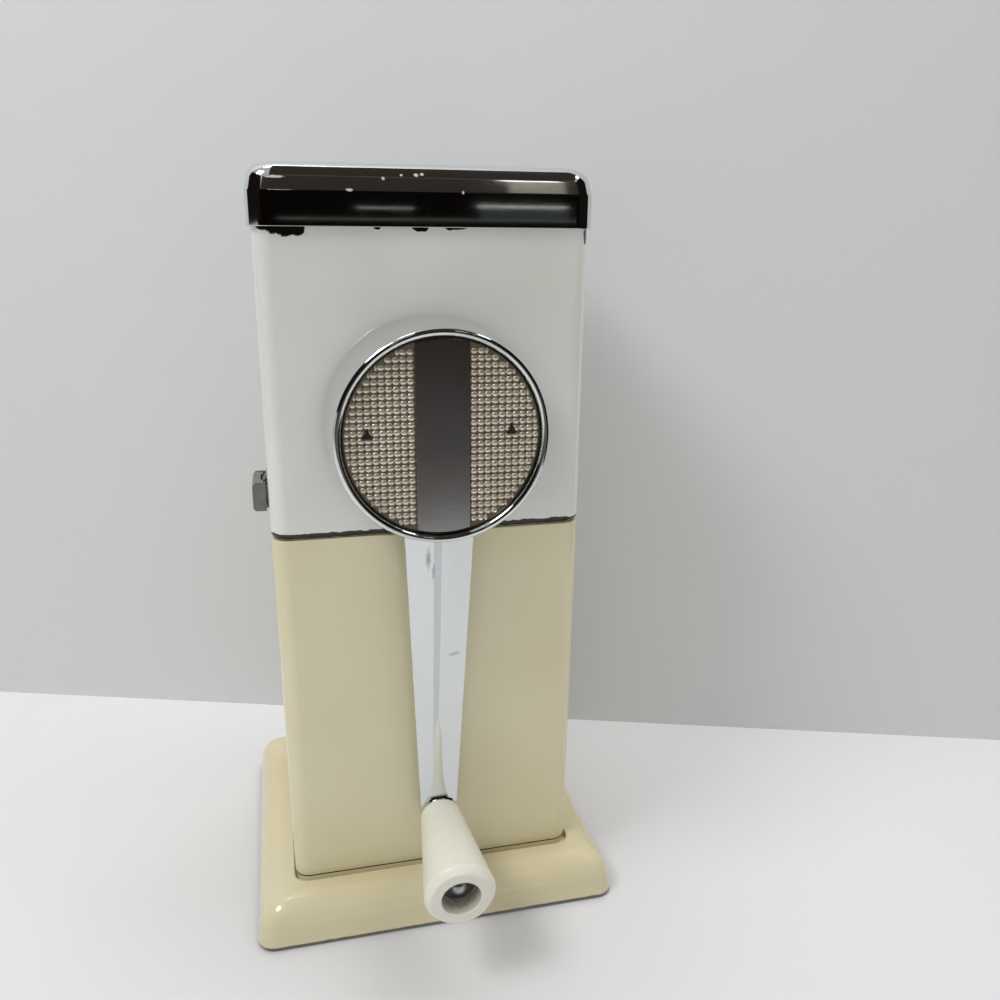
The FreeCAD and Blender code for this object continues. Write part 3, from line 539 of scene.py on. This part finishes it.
def makeReceptacle():
    wide, deep, seat = body["halfWide"], body["halfDeep"], body["seat"]
    top, rim, step, floor = bucket["top"], bucket["rim"], bucket["step"], bucket["floor"]
    spigotTop, spigotEdge = bucket["spigotTop"], bucket["spigotEdge"]
    piece = startBlock("iceReceptacle", (-wide, -deep, seat), (wide, deep, top))
    roundUprights(piece, body["corner"], 12)
    # the moulding's draft: its foot is a little smaller than its top
    footWide, footDeep = wide - body["draft"], deep - body["draft"]
    pick(piece, "FACE", lambda middle, normal: normal.z < -0.99)
    bpy.ops.transform.resize(value=(footWide / wide, footDeep / deep, 1), center_override=(0, 0, seat * mm))
    leave()
    # the block's own top comes down to where the rim's rounding starts
    pick(piece, "FACE", lambda middle, normal: normal.z > 0.99)
    bpy.ops.transform.translate(value=(0, 0, -rim * mm))
    leave()
    rings = [(0, top - rim)]
    for k in range(1, 5):
        angle = math.radians(90 * k / 4)
        rings.append((rim * (1 - math.cos(angle)), top + rim * (math.sin(angle) - 1)))
    inner = step + bucket["spigotWall"]
    rings += [(step, top), (step, spigotTop - spigotEdge), (step + spigotEdge, spigotTop), (inner, spigotTop),
              (inner, top)]
    rings += [(inner + inset, floor + height) for inset, height in bucket["floorBend"]]
    raiseTop(piece, rings, wide, deep)
    wall = bucket["wall"]
    raiseTop(piece, [(0, seat), (wall, seat), (wall, bucket["recess"])], footWide, footDeep, up=-1)
    front, rear = bucket["notchY"]
    cutWith(piece, startBlock("notchCutter", (-wide, front, top + bucket["notchSill"]),
                              (-wide + bucket["notchReach"], rear, spigotTop + 1)))
    finishPiece(piece, cream, "base", ["receptacle"], 30)


makeReceptacle()

# ---- head shell ----
shell = {"bottom": 132.6, "top": 223.5, "wall": 1.2, "bore": 10.4, "shaft": 165.0, "edge": 0.35,
         "slotY": (-17.0, -7.0), "slotZ": (133.5, 137.2), "cutFrom": 2, "cutTo": 3}


def makeHeadShell():
    wide, deep, corner = body["halfWide"], body["halfDeep"], body["corner"]
    bottom, top, shaft = shell["bottom"], shell["top"], shell["shaft"]
    piece = startBlock("headShell", (-wide, -deep, bottom), (wide, deep, top))
    roundUprights(piece, corner, 12)
    openUp(piece, lambda normal: abs(normal.z) > 0.99)
    modify(piece, "SOLIDIFY", thickness=shell["wall"] * mm, offset=-1, use_even_offset=True)

    def onOuterRim(middle, along):
        across, back = abs(middle.x), abs(middle.y)
        level = abs(along.z) < 0.01 and min(abs(middle.z - bottom), abs(middle.z - top)) < 0.01
        return level and (across > wide - 0.6 or back > deep - 0.6
                          or math.hypot(across - wide + corner, back - deep + corner) > corner - 0.4)

    pick(piece, "EDGE", onOuterRim)
    bevelPicked(shell["edge"], 3)
    # both cutters reach through the sheet only
    outside, inside = shell["cutFrom"], shell["cutTo"]
    cutWith(piece, cutterRod(shell["bore"], (0, -deep - outside, shaft), (0, -deep + inside, shaft)))
    (front, rear), (low, high) = shell["slotY"], shell["slotZ"]
    cutWith(piece, startBlock("slotCutter", (-wide - outside, front, low), (-wide + inside, rear, high)))
    finishPiece(piece, enamel, "head", ["head_shell"], 30)


makeHeadShell()

# ---- lid ----
# its crown is a list of insets and heights, from the bend up to the nearly flat top
lid = {"halfWide": 48.1, "halfDeep": 42.3, "corner": 6.2, "bottom": 219.0, "bend": 228.0, "wall": 0.9,
       "hem": 0.25,
       "crown": [(0.12, 228.3), (0.7, 231.3), (1.0, 232.3), (1.55, 233.3), (2.4, 234.2), (3.5, 234.85),
                 (5.0, 235.25), (7.0, 235.5), (10.0, 235.65), (15.0, 235.75), (24.0, 235.8)]}


def makeLid():
    wide, deep, bottom = lid["halfWide"], lid["halfDeep"], lid["bottom"]
    piece = startBlock("lidCap", (-wide, -deep, bottom), (wide, deep, lid["bend"]))
    roundUprights(piece, lid["corner"], 12)
    raiseTop(piece, [(0, lid["bend"])] + lid["crown"], wide, deep)
    openUp(piece, lambda normal: normal.z < -0.99)
    modify(piece, "SOLIDIFY", thickness=lid["wall"] * mm, offset=-1, use_even_offset=True)
    pick(piece, "EDGE", lambda middle, along: abs(middle.z - bottom) < 0.01 and abs(along.z) < 0.01)
    bevelPicked(lid["hem"], 2)
    finishPiece(piece, lidChrome, "lid", ["lid"], 40)


makeLid()

# ---- cap of the side catch ----
catch = {"low": 142.85, "thick": 0.65, "edge": 0.15,
         "outline": [(-51.05, -18.55), (-48.7, -18.55), (-48.7, -15.4), (-49.4, -15.4), (-49.4, -8.6),
                     (-48.7, -8.6), (-48.7, -5.45), (-51.05, -5.45)]}


def makeCatchCap():
    # closes the top of the pressed lever and leaves room for its spring
    piece = traceOutline("catchCap", [(x, y, catch["low"]) for x, y in catch["outline"]])
    fillAndExtrude(piece, (0, 0, catch["thick"]))
    bevelSharp(piece, catch["edge"], 2)
    finishPiece(piece, catchSteel, "catch", (), 40)


makeCatchCap()

# ---- crank ----
crank = {"back": -43.4, "front": -63.4, "backRadius": 31.0, "frontRadius": 29.4, "backEdge": 0.4,
         "recess": 27.3, "web": -57.8, "hollow": 27.4, "boss": 8.4, "badgeFloor": -60.8, "shaft": 165.0,
         "pivot": 38.4, "lean": 5.0, "armFront": -57.8, "thick": 5.4, "rootHalf": 10.7, "tipHalf": 5.8,
         "armTop": 151.0, "armEdge": 0.6, "facetSlope": 19.5, "ridgeRound": 9.0, "ridgeSink": -0.3,
         "roofHalf": 14, "padRadius": 6.1, "pad": 0.5, "padSunk": 0.6, "padEdge": 0.25,
         "gussetHalf": 1.8, "gussetLong": 48, "gussetDeep": 7.5, "gussetSunk": 0.5}
# the arm is made upright round the knob's pivot, then leant so that it rises forward to the hub's front
lean = math.radians(crank["lean"])
armFaceY = crank["armFront"] + (crank["shaft"] - crank["pivot"] - crank["frontRadius"]) * math.tan(lean)
armFrame = Matrix.Translation(point(0, armFaceY, crank["pivot"])) @ Matrix.Rotation(lean, 4, "X")
armLength = crank["armTop"] - crank["pivot"]


def makeRoofCutter():
    # two facets that meet in a softly rounded ridge, seen along the arm
    half, thick, tip, soft = crank["roofHalf"], crank["thick"], crank["tipHalf"], crank["ridgeRound"]
    slope = math.radians(crank["facetSlope"])
    crest = crank["ridgeSink"] + soft / math.cos(slope) - soft
    turns = [slope * k / 9 for k in range(-9, 10)]
    ridge = [(soft * math.sin(angle), crest + soft * (1 - math.cos(angle))) for angle in turns]
    far = ridge[-1][1] + (half - ridge[-1][0]) * math.tan(slope)
    corners = [(half, thick + 1), (-half, thick + 1), (-half, far)] + ridge + [(half, far)]
    roof = traceOutline("roofCutter", [(x, y, -tip - 1) for x, y in corners])
    fillAndExtrude(roof, (0, 0, armLength + tip + 2))
    return roof


def makePad():
    # the round pad under the knob
    sunk = crank["thick"] - crank["padSunk"]
    pad = cutterRod(crank["padRadius"], (0, -crank["pad"], 0), (0, sunk, 0), 72)
    pick(pad, "EDGE", lambda middle, along: middle.y < -crank["pad"] + 0.01)
    bevelPicked(crank["padEdge"], 2)
    return pad


def makeGusset():
    # a thin web behind the arm that runs out to nothing towards the knob
    half, deep, thick = crank["gussetHalf"], crank["gussetDeep"], crank["thick"]
    foot = armLength - crank["gussetLong"]
    gusset = startBlock("gusset", (-half, thick - crank["gussetSunk"], foot), (half, thick + deep, armLength))
    pick(gusset, "EDGE", lambda middle, along: middle.z < foot + 1 and abs(along.x) > 0.9
         and middle.y > thick)
    bpy.ops.transform.translate(value=(0, -(deep + 0.1) * mm, 0))
    leave()
    return gusset


def makeArm():
    # the arm's tapered outline, drawn out to its thickness
    root, tip = crank["rootHalf"], crank["tipHalf"]
    outline = [(-root, 0, armLength), (root, 0, armLength)]
    turns = [-math.pi * k / 20 for k in range(21)]
    outline += [(tip * math.cos(angle), 0, tip * math.sin(angle)) for angle in turns]
    arm = traceOutline("crankArm", outline)
    fillAndExtrude(arm, (0, crank["thick"], 0))
    cutWith(arm, makeRoofCutter(), "INTERSECT")
    bevelSharp(arm, crank["armEdge"], 3)
    pad, gusset = makePad(), makeGusset()
    for piece in (arm, gusset, pad):
        moveMesh(piece, armFrame)
    # inside the hollow hub the arm and its gusset stop at the hub's web
    for piece in (arm, gusset):
        cutWith(piece, cutterRod(crank["hollow"], (0, crank["web"] + 0.1, crank["shaft"]),
                                 (0, crank["back"] + 2, crank["shaft"]), 96))
    joinInto(arm, [pad, gusset])
    return arm


def makeCrank():
    back, front, web, edge = crank["back"], crank["front"], crank["web"], crank["backEdge"]
    # the rounded rim round the badge
    rim = (crank["frontRadius"] - crank["recess"]) / 2
    turns = [math.radians(degrees) for degrees in range(0, 181, 12)]
    ridge = [(crank["frontRadius"] - rim + rim * math.cos(angle), front + rim - rim * math.sin(angle))
             for angle in turns]
    hub = [(0, back), (crank["boss"], back), (crank["boss"], web), (crank["hollow"], web),
           (crank["hollow"], back), (crank["backRadius"] - edge, back), (crank["backRadius"], back - edge)]
    hub += ridge + [(crank["recess"], crank["badgeFloor"]), (0, crank["badgeFloor"])]
    piece = turnedPiece("crankCasting", hub, 144)
    moveMesh(piece, Matrix.Translation(point(0, 0, crank["shaft"])))
    joinInto(piece, [makeArm()])
    finishPiece(piece, chrome, "crank", ["crank"], 38)


makeCrank()

# ---- badge ----
badge = {"radius": 26.7, "floor": -60.8, "face": -61.6, "clear": 0.1, "bandHalf": 7.4, "bandFace": -62.2,
         "bandSunk": 0.05, "bandEdge": 0.3}
shaft = crank["shaft"]


def makeBadgePlate():
    plate = turnedPiece("badgePlate", [(0, badge["floor"]), (badge["radius"], badge["floor"]),
                                       (badge["radius"], badge["face"]), (0, badge["face"])], 96)
    moveMesh(plate, Matrix.Translation(point(0, 0, shaft)))
    finishPiece(plate, groundPaint, "crank", ["badge"])


makeBadgePlate()


def makeBadgeBand():
    # a strip with its ends cut to the badge's round edge
    reach = badge["radius"] - badge["clear"]
    edge = math.asin(badge["bandHalf"] / reach)
    turns = [edge * k / 8 for k in range(-8, 9)]
    outline = [(reach * math.sin(angle), shaft + reach * math.cos(angle)) for angle in turns]
    outline += [(x, 2 * shaft - z) for x, z in reversed(outline)]
    band = traceOutline("badgeBand", [(x, badge["face"] + badge["bandSunk"], z) for x, z in outline])
    fillAndExtrude(band, (0, badge["bandFace"] - badge["face"], 0))
    pick(band, "EDGE", lambda middle, along: middle.y < badge["bandFace"] + 0.1)
    bevelPicked(badge["bandEdge"], 2)
    finishPiece(band, bandMetal, "crank", (), 30)


makeBadgeBand()

# a row's length is measured a little outside its middle, where the ring is nearer
bead = {"pitch": 1.93, "wide": 1.0, "tall": 0.83, "high": 0.45, "rows": 14, "columns": 11, "least": 0.6,
        "measuredOut": 0.35, "rowClear": 0.4}


def beadPlaces():
    # (x, z from the shaft, half width) of every bead; the last of a row is cut short by the ring
    places = []
    for row in range(-bead["rows"], bead["rows"] + 1):
        z = row * bead["pitch"]
        if abs(z) + bead["rowClear"] > badge["radius"]:
            continue
        reach = math.sqrt((badge["radius"] - badge["clear"]) ** 2 - (abs(z) + bead["measuredOut"]) ** 2)
        for column in range(bead["columns"]):
            left = badge["bandHalf"] + badge["clear"] + column * bead["pitch"]
            right = min(left + 2 * bead["wide"], reach)
            if right - left > bead["least"]:
                places += [(side * (left + right) / 2, z, (right - left) / 2) for side in (-1, 1)]
    return places


def makeBadgeBeads():
    # one embossed bead, a low dome, copied over both fields
    bpy.ops.object.select_all(action="DESELECT")
    bpy.ops.mesh.primitive_uv_sphere_add(segments=14, ring_count=8, radius=mm,
                                         rotation=(math.radians(90), 0, 0))
    dome = bpy.context.object
    bpy.ops.object.transform_apply(location=True, rotation=True, scale=True)
    copies = []
    for x, z, halfWide in beadPlaces():
        copy = dome.copy()
        copy.data = dome.data.copy()
        bpy.context.scene.collection.objects.link(copy)
        moveMesh(copy, Matrix.Translation(point(x, badge["face"], shaft + z))
                 @ Matrix.Diagonal((halfWide, bead["high"], bead["tall"], 1)))
        copies.append(copy)
    bpy.data.objects.remove(dome)
    print("beads:", len(copies))
    copies[0].name = "badgeBeads"
    joinInto(copies[0], copies[1:])
    finishPiece(copies[0], beadMetal, "crank", (), 50)


makeBadgeBeads()

badgeRing = {"inner": 26.75, "outer": 27.25, "face": -61.9, "edge": 0.15}


def makeBadgeRing():
    # the thin ring that holds the badge in its recess
    floor, face, edge = badge["floor"], badgeRing["face"], badgeRing["edge"]
    inner, outer = badgeRing["inner"], badgeRing["outer"]
    profile = [(inner, floor), (outer, floor), (outer, face + edge), (outer - edge, face),
               (inner + edge, face), (inner, face + edge), (inner, floor)]
    ring = turnedPiece("badgeRing", profile, 128)
    moveMesh(ring, Matrix.Translation(point(0, 0, shaft)))
    finishPiece(ring, shadedBadgeRing, "crank", ["badge_ring"])


makeBadgeRing()

arrowhead = {"x": (-20.3, 18.9), "tip": 3.4, "half": 1.4, "tall": 2.8, "proud": 0.62, "thick": 0.5}


def makeArrowheads():
    # the printed arrowheads of the two turning directions
    tip, half, y = shaft + arrowhead["tip"], arrowhead["half"], badge["face"] - arrowhead["proud"]
    foot = tip - arrowhead["tall"]
    for name, x in zip(("arrowheadLeft", "arrowheadRight"), arrowhead["x"]):
        mark = traceOutline(name, [(x - half, y, foot), (x, y, tip), (x + half, y, foot)])
        fillAndExtrude(mark, (0, arrowhead["thick"], 0))
        finishPiece(mark, markBlack, "crank", (), 30)


makeArrowheads()

# ---- knob and its rivet ----
knob = {"start": -0.8, "front": -36.2, "rear": 6.3, "frontRadius": 10.6, "edge": 2.0, "face": 9.0,
        "bore": 5.8, "boreFloor": -30.2, "axle": 2.4}


def makeKnob():
    axle, start, front, floor = knob["axle"], knob["start"], knob["front"], knob["boreFloor"]
    corners = [(axle, start, 0), (knob["rear"], start, 0.4),
               (knob["frontRadius"], front + knob["edge"], 1.6), (knob["face"], front, 0.9),
               (knob["bore"], front, 0.35), (knob["bore"], floor, 0.3), (axle, floor, 0)]
    piece = turnedPiece("knobGrip", rounded(corners, 6) + [Vector((axle, start))], 96)
    moveMesh(piece, armFrame)
    finishPiece(piece, ivory, "knob", ["knob"])


makeKnob()

# the dome is (radius, height above the bore's floor), from its middle to its underside
rivet = {"dome": [(0, 3.0), (0.9, 2.9), (1.7, 2.55), (2.35, 1.95), (2.75, 1.25), (2.8, 1.0)], "shank": 2.3,
         "tenon": 2.0, "rear": 0.6, "rearEdge": 0.1, "rearFlat": 1.6}


def makeKnobRivet():
    # a shouldered rivet, headed over behind the arm
    floor, pad, back = knob["boreFloor"], -crank["pad"], crank["thick"]
    shank, tenon, rear = rivet["shank"], rivet["tenon"], back + rivet["rear"]
    profile = [(radius, floor - height) for radius, height in rivet["dome"] + [(shank, 1.0)]]
    profile += [(shank, pad), (tenon, pad), (tenon, back + 0.02), (tenon, rear - rivet["rearEdge"]),
                (rivet["rearFlat"], rear), (0, rear)]
    piece = turnedPiece("knobRivet", profile, 48)
    moveMesh(piece, armFrame)
    finishPiece(piece, rivetSteel, "crank", ["knob_rivet"])


makeKnobRivet()
print("object made")


# ---- stage, lights and camera ----
stage = {"floor": "#DBDBDC", "floorSize": 6000, "wall": "#DADADA", "wallSize": 4000, "wallBehind": 85,
         "wallTurn": -18, "tableEdge": -486}
upright = (math.radians(90), 0, 0)
sideways = (math.radians(90), 0, math.radians(90))
level = (0, 0, 0)


def addPlane(name, middle, size, rotation, material):
    bpy.ops.object.select_all(action="DESELECT")
    bpy.ops.mesh.primitive_plane_add(size=1, location=Vector(middle) * mm, rotation=rotation)
    plane = bpy.context.object
    plane.name = name
    plane.scale = (size[0] * mm, size[1] * mm, 1)
    plane.data.materials.append(material)
    return plane


def makeGlow(name, colour, strength=1.0):
    material, tree = newMaterial(name)
    glow = addNode(tree, "ShaderNodeEmission", {"Color": linear(colour), "Strength": strength})
    addNode(tree, "ShaderNodeOutputMaterial", None, {"Surface": (glow, 0)})
    return material


def makeFloor():
    material, tree = newMaterial("paleTable")
    shader = addNode(tree, "ShaderNodeBsdfPrincipled",
                     {"Base Color": linear(stage["floor"]), "Roughness": 0.55})
    addNode(tree, "ShaderNodeOutputMaterial", None, {"Surface": (shader, 0)})
    size = stage["floorSize"]
    return addPlane("stageFloor", (0, size / 2 + stage["tableEdge"], 0), (size, size), level, material)


def makeWall():
    # the wall stands close behind; it shows from its front only
    material, tree = newMaterial("paleWall")
    faces = addNode(tree, "ShaderNodeNewGeometry")
    front = addNode(tree, "ShaderNodeBsdfPrincipled",
                    {"Base Color": linear(stage["wall"]), "Roughness": 0.8})
    behind = addNode(tree, "ShaderNodeBsdfTransparent")
    shader = addNode(tree, "ShaderNodeMixShader", None,
                     {0: (faces, "Backfacing"), 1: (front, 0), 2: (behind, 0)})
    addNode(tree, "ShaderNodeOutputMaterial", None, {"Surface": (shader, 0)})
    size = stage["wallSize"]
    wall = addPlane("stageWall", (-0.6, stage["wallBehind"], size / 2), (size, size),
                    (math.radians(90), 0, math.radians(stage["wallTurn"])), material)
    wall.visible_shadow = False
    return wall


# the room in front of the table, from the floor up, as polished faces show it
roomTones = [(0.06, "#6C6866"), (0.14, "#5F5D5C"), (0.26, "#433F3D"), (0.38, "#080605"), (0.52, "#0A0807"),
             (0.66, "#2C2722"), (0.96, "#39332D")]
# painted reflections of its bright fittings, as the lid's chromium shows them: glowing panels that only
# glossy faces see
roomPanels = [
    {"name": "roomLampRight", "x": 169, "z": 485, "size": (51, 40), "colour": "#FFFFFF", "strength": 2.6},
    {"name": "roomLampFade", "x": 171, "z": 450, "size": (48, 22), "colour": "#8E877A", "strength": 1.0},
    {"name": "roomLampLeft", "x": -39, "z": 302, "size": (23, 12), "colour": "#FFFFFF", "strength": 2.4},
    {"name": "roomLineMiddle", "x": 40, "z": 233.8, "size": (42, 1.4), "colour": "#B5B2AE", "strength": 1.0},
    {"name": "roomFrameTop", "x": 145, "z": 237.5, "size": (70, 1.6), "colour": "#F2F0EC", "strength": 1.2},
    {"name": "roomFrame", "x": 147, "z": 228.3, "size": (71, 15), "colour": "#2E3433", "strength": 1.0},
    {"name": "roomFrameLow", "x": 80, "z": 219.6, "size": (235, 1.2), "colour": "#77746F", "strength": 1.0}]
# a glowing triangle that only glossy faces see: a painted shadow on the table, whose painted reflection runs
# down the middle of the arm
tableShade = {"middle": (-13, -252, 0.6), "size": (95, 167), "colour": "#CBCFD0"}


def makeRoomCards():
    # beyond the table's front edge the room is dark; only glossy faces see these cards
    front = stage["tableEdge"]
    roomLook, tree = newMaterial("darkRoom")
    place = addNode(tree, "ShaderNodeTexCoord")
    parts = addNode(tree, "ShaderNodeSeparateXYZ", None, {"Vector": (place, "Object")})
    height = addNode(tree, "ShaderNodeMapRange", {"From Min": -0.5, "From Max": 0.5}, {"Value": (parts, "Y")})
    tone = addNode(tree, "ShaderNodeValToRGB", {"stops": roomTones}, {"Fac": (height, "Result")})
    glow = addNode(tree, "ShaderNodeEmission", {"Strength": 1.0}, {"Color": (tone, "Color")})
    addNode(tree, "ShaderNodeOutputMaterial", None, {"Surface": (glow, 0)})
    dark, brown = makeGlow("roomDark", "#15110F"), makeGlow("roomBrown", "#332E29")
    cards = [addPlane("roomFront", (0, front - 4, 270), (1500, 580), upright, roomLook),
             addPlane("roomAbove", (90, -230, 560), (300, 510), level, brown),
             addPlane("roomRight", (330, -258, 270), (455, 580), sideways, dark),
             addPlane("roomLeft", (-420, -170, 390), (630, 350), sideways, dark)]
    for panel in roomPanels:
        panelGlow = makeGlow(panel["name"] + "Glow", panel["colour"], panel["strength"])
        cards.append(addPlane(panel["name"], (panel["x"], front + 1, panel["z"]), panel["size"], upright,
                              panelGlow))
    bpy.ops.object.select_all(action="DESELECT")
    bpy.ops.mesh.primitive_circle_add(vertices=3, radius=1, fill_type="NGON",
                                      location=point(*tableShade["middle"]))
    shade = bpy.context.object
    shade.name = "tableShade"
    shade.scale = (tableShade["size"][0] * mm, tableShade["size"][1] * mm, 1)
    shade.data.materials.append(makeGlow("tableShadeGlow", tableShade["colour"]))
    cards.append(shade)
    for card in cards:
        for ray in ("camera", "diffuse", "transmission", "volume_scatter", "shadow"):
            setattr(card, "visible_" + ray, False)
    return cards


# someone who stands in front takes light from the object's lower front
standing = {"middle": (60, -420, 430), "size": (230, 150), "tilt": 50, "colour": "#3A322D"}


def makeBlocker():
    material, tree = newMaterial("darkCloth")
    shader = addNode(tree, "ShaderNodeBsdfPrincipled",
                     {"Base Color": linear(standing["colour"]), "Roughness": 0.9})
    addNode(tree, "ShaderNodeOutputMaterial", None, {"Surface": (shader, 0)})
    blocker = addPlane("roomShade", standing["middle"], standing["size"],
                       (math.radians(standing["tilt"]), 0, 0), material)
    blocker.visible_camera = blocker.visible_glossy = False
    return blocker


# places, targets and sizes in millimetres, power in watts
lamps = [
    {"name": "ceilingStrip", "place": (60, 10, 800), "target": (40, -40, 0), "size": (600, 200),
     "power": 1.4},
    {"name": "softLeft", "place": (-520, -260, 900), "target": (0, 0, 100), "size": (350, 250),
     "power": 3.6},
    {"name": "softRight", "place": (480, -120, 900), "target": (0, -40, 60), "size": (350, 250),
     "power": 0.9},
    {"name": "windowBehind", "place": (60, 210, 640), "target": (20, -60, 0), "size": (320, 160),
     "power": 0.85},
    {"name": "frontFill", "place": (-60, -700, 360), "target": (0, 0, 110), "size": (600, 320),
     "power": 0.42, "inMirrors": False}]
world = {"colour": "#EDEEF0", "strength": 0.54}


def addLamp(name, place, target, size, power, inMirrors=True):
    lamp = bpy.data.lights.new(name, "AREA")
    lamp.shape, lamp.size, lamp.size_y = "RECTANGLE", size[0] * mm, size[1] * mm
    lamp.energy = power
    holder = bpy.data.objects.new(name, lamp)
    holder.visible_glossy = inMirrors
    bpy.context.scene.collection.objects.link(holder)
    holder.location = Vector(place) * mm
    holder.rotation_euler = (Vector(target) - Vector(place)).to_track_quat("-Z", "Y").to_euler()


def makeLight():
    studio = bpy.data.worlds.new("studioWorld")
    bpy.context.scene.world = studio
    studio.use_nodes = True
    background = studio.node_tree.nodes["Background"]
    background.inputs["Color"].default_value = linear(world["colour"])
    background.inputs["Strength"].default_value = world["strength"]
    for lamp in lamps:
        addLamp(**lamp)


# angles in degrees; the focal length counts in pixels of a frame 1000 wide
view = {"place": (-41.4, -295.7, 219.9), "yaw": 13.755, "pitch": 16.922, "roll": -0.571, "focal": 904.3,
        "frame": 1000, "sensor": 36.0}


def makeCamera():
    yaw, pitch, roll = (math.radians(view[turn]) for turn in ("yaw", "pitch", "roll"))
    ahead = Vector((math.sin(yaw) * math.cos(pitch), math.cos(yaw) * math.cos(pitch), -math.sin(pitch)))
    across = Vector((math.cos(yaw), -math.sin(yaw), 0))
    down = ahead.cross(across)
    right = across * math.cos(roll) + down * math.sin(roll)
    up = across * math.sin(roll) - down * math.cos(roll)
    data = bpy.data.cameras.new("camera")
    data.sensor_width, data.lens = view["sensor"], view["sensor"] * view["focal"] / view["frame"]
    data.clip_start = 0.01
    camera = bpy.data.objects.new("camera", data)
    bpy.context.scene.collection.objects.link(camera)
    turned = Matrix((right, up, -ahead)).transposed()
    camera.matrix_world = Matrix.Translation(point(*view["place"])) @ turned.to_4x4()
    bpy.context.scene.camera = camera


floor, wall = makeFloor(), makeWall()
cards = makeRoomCards()
blocker = makeBlocker()
makeLight()
makeCamera()
bpy.context.scene.view_settings.view_transform = "Standard"
print("stage, lights and camera set")
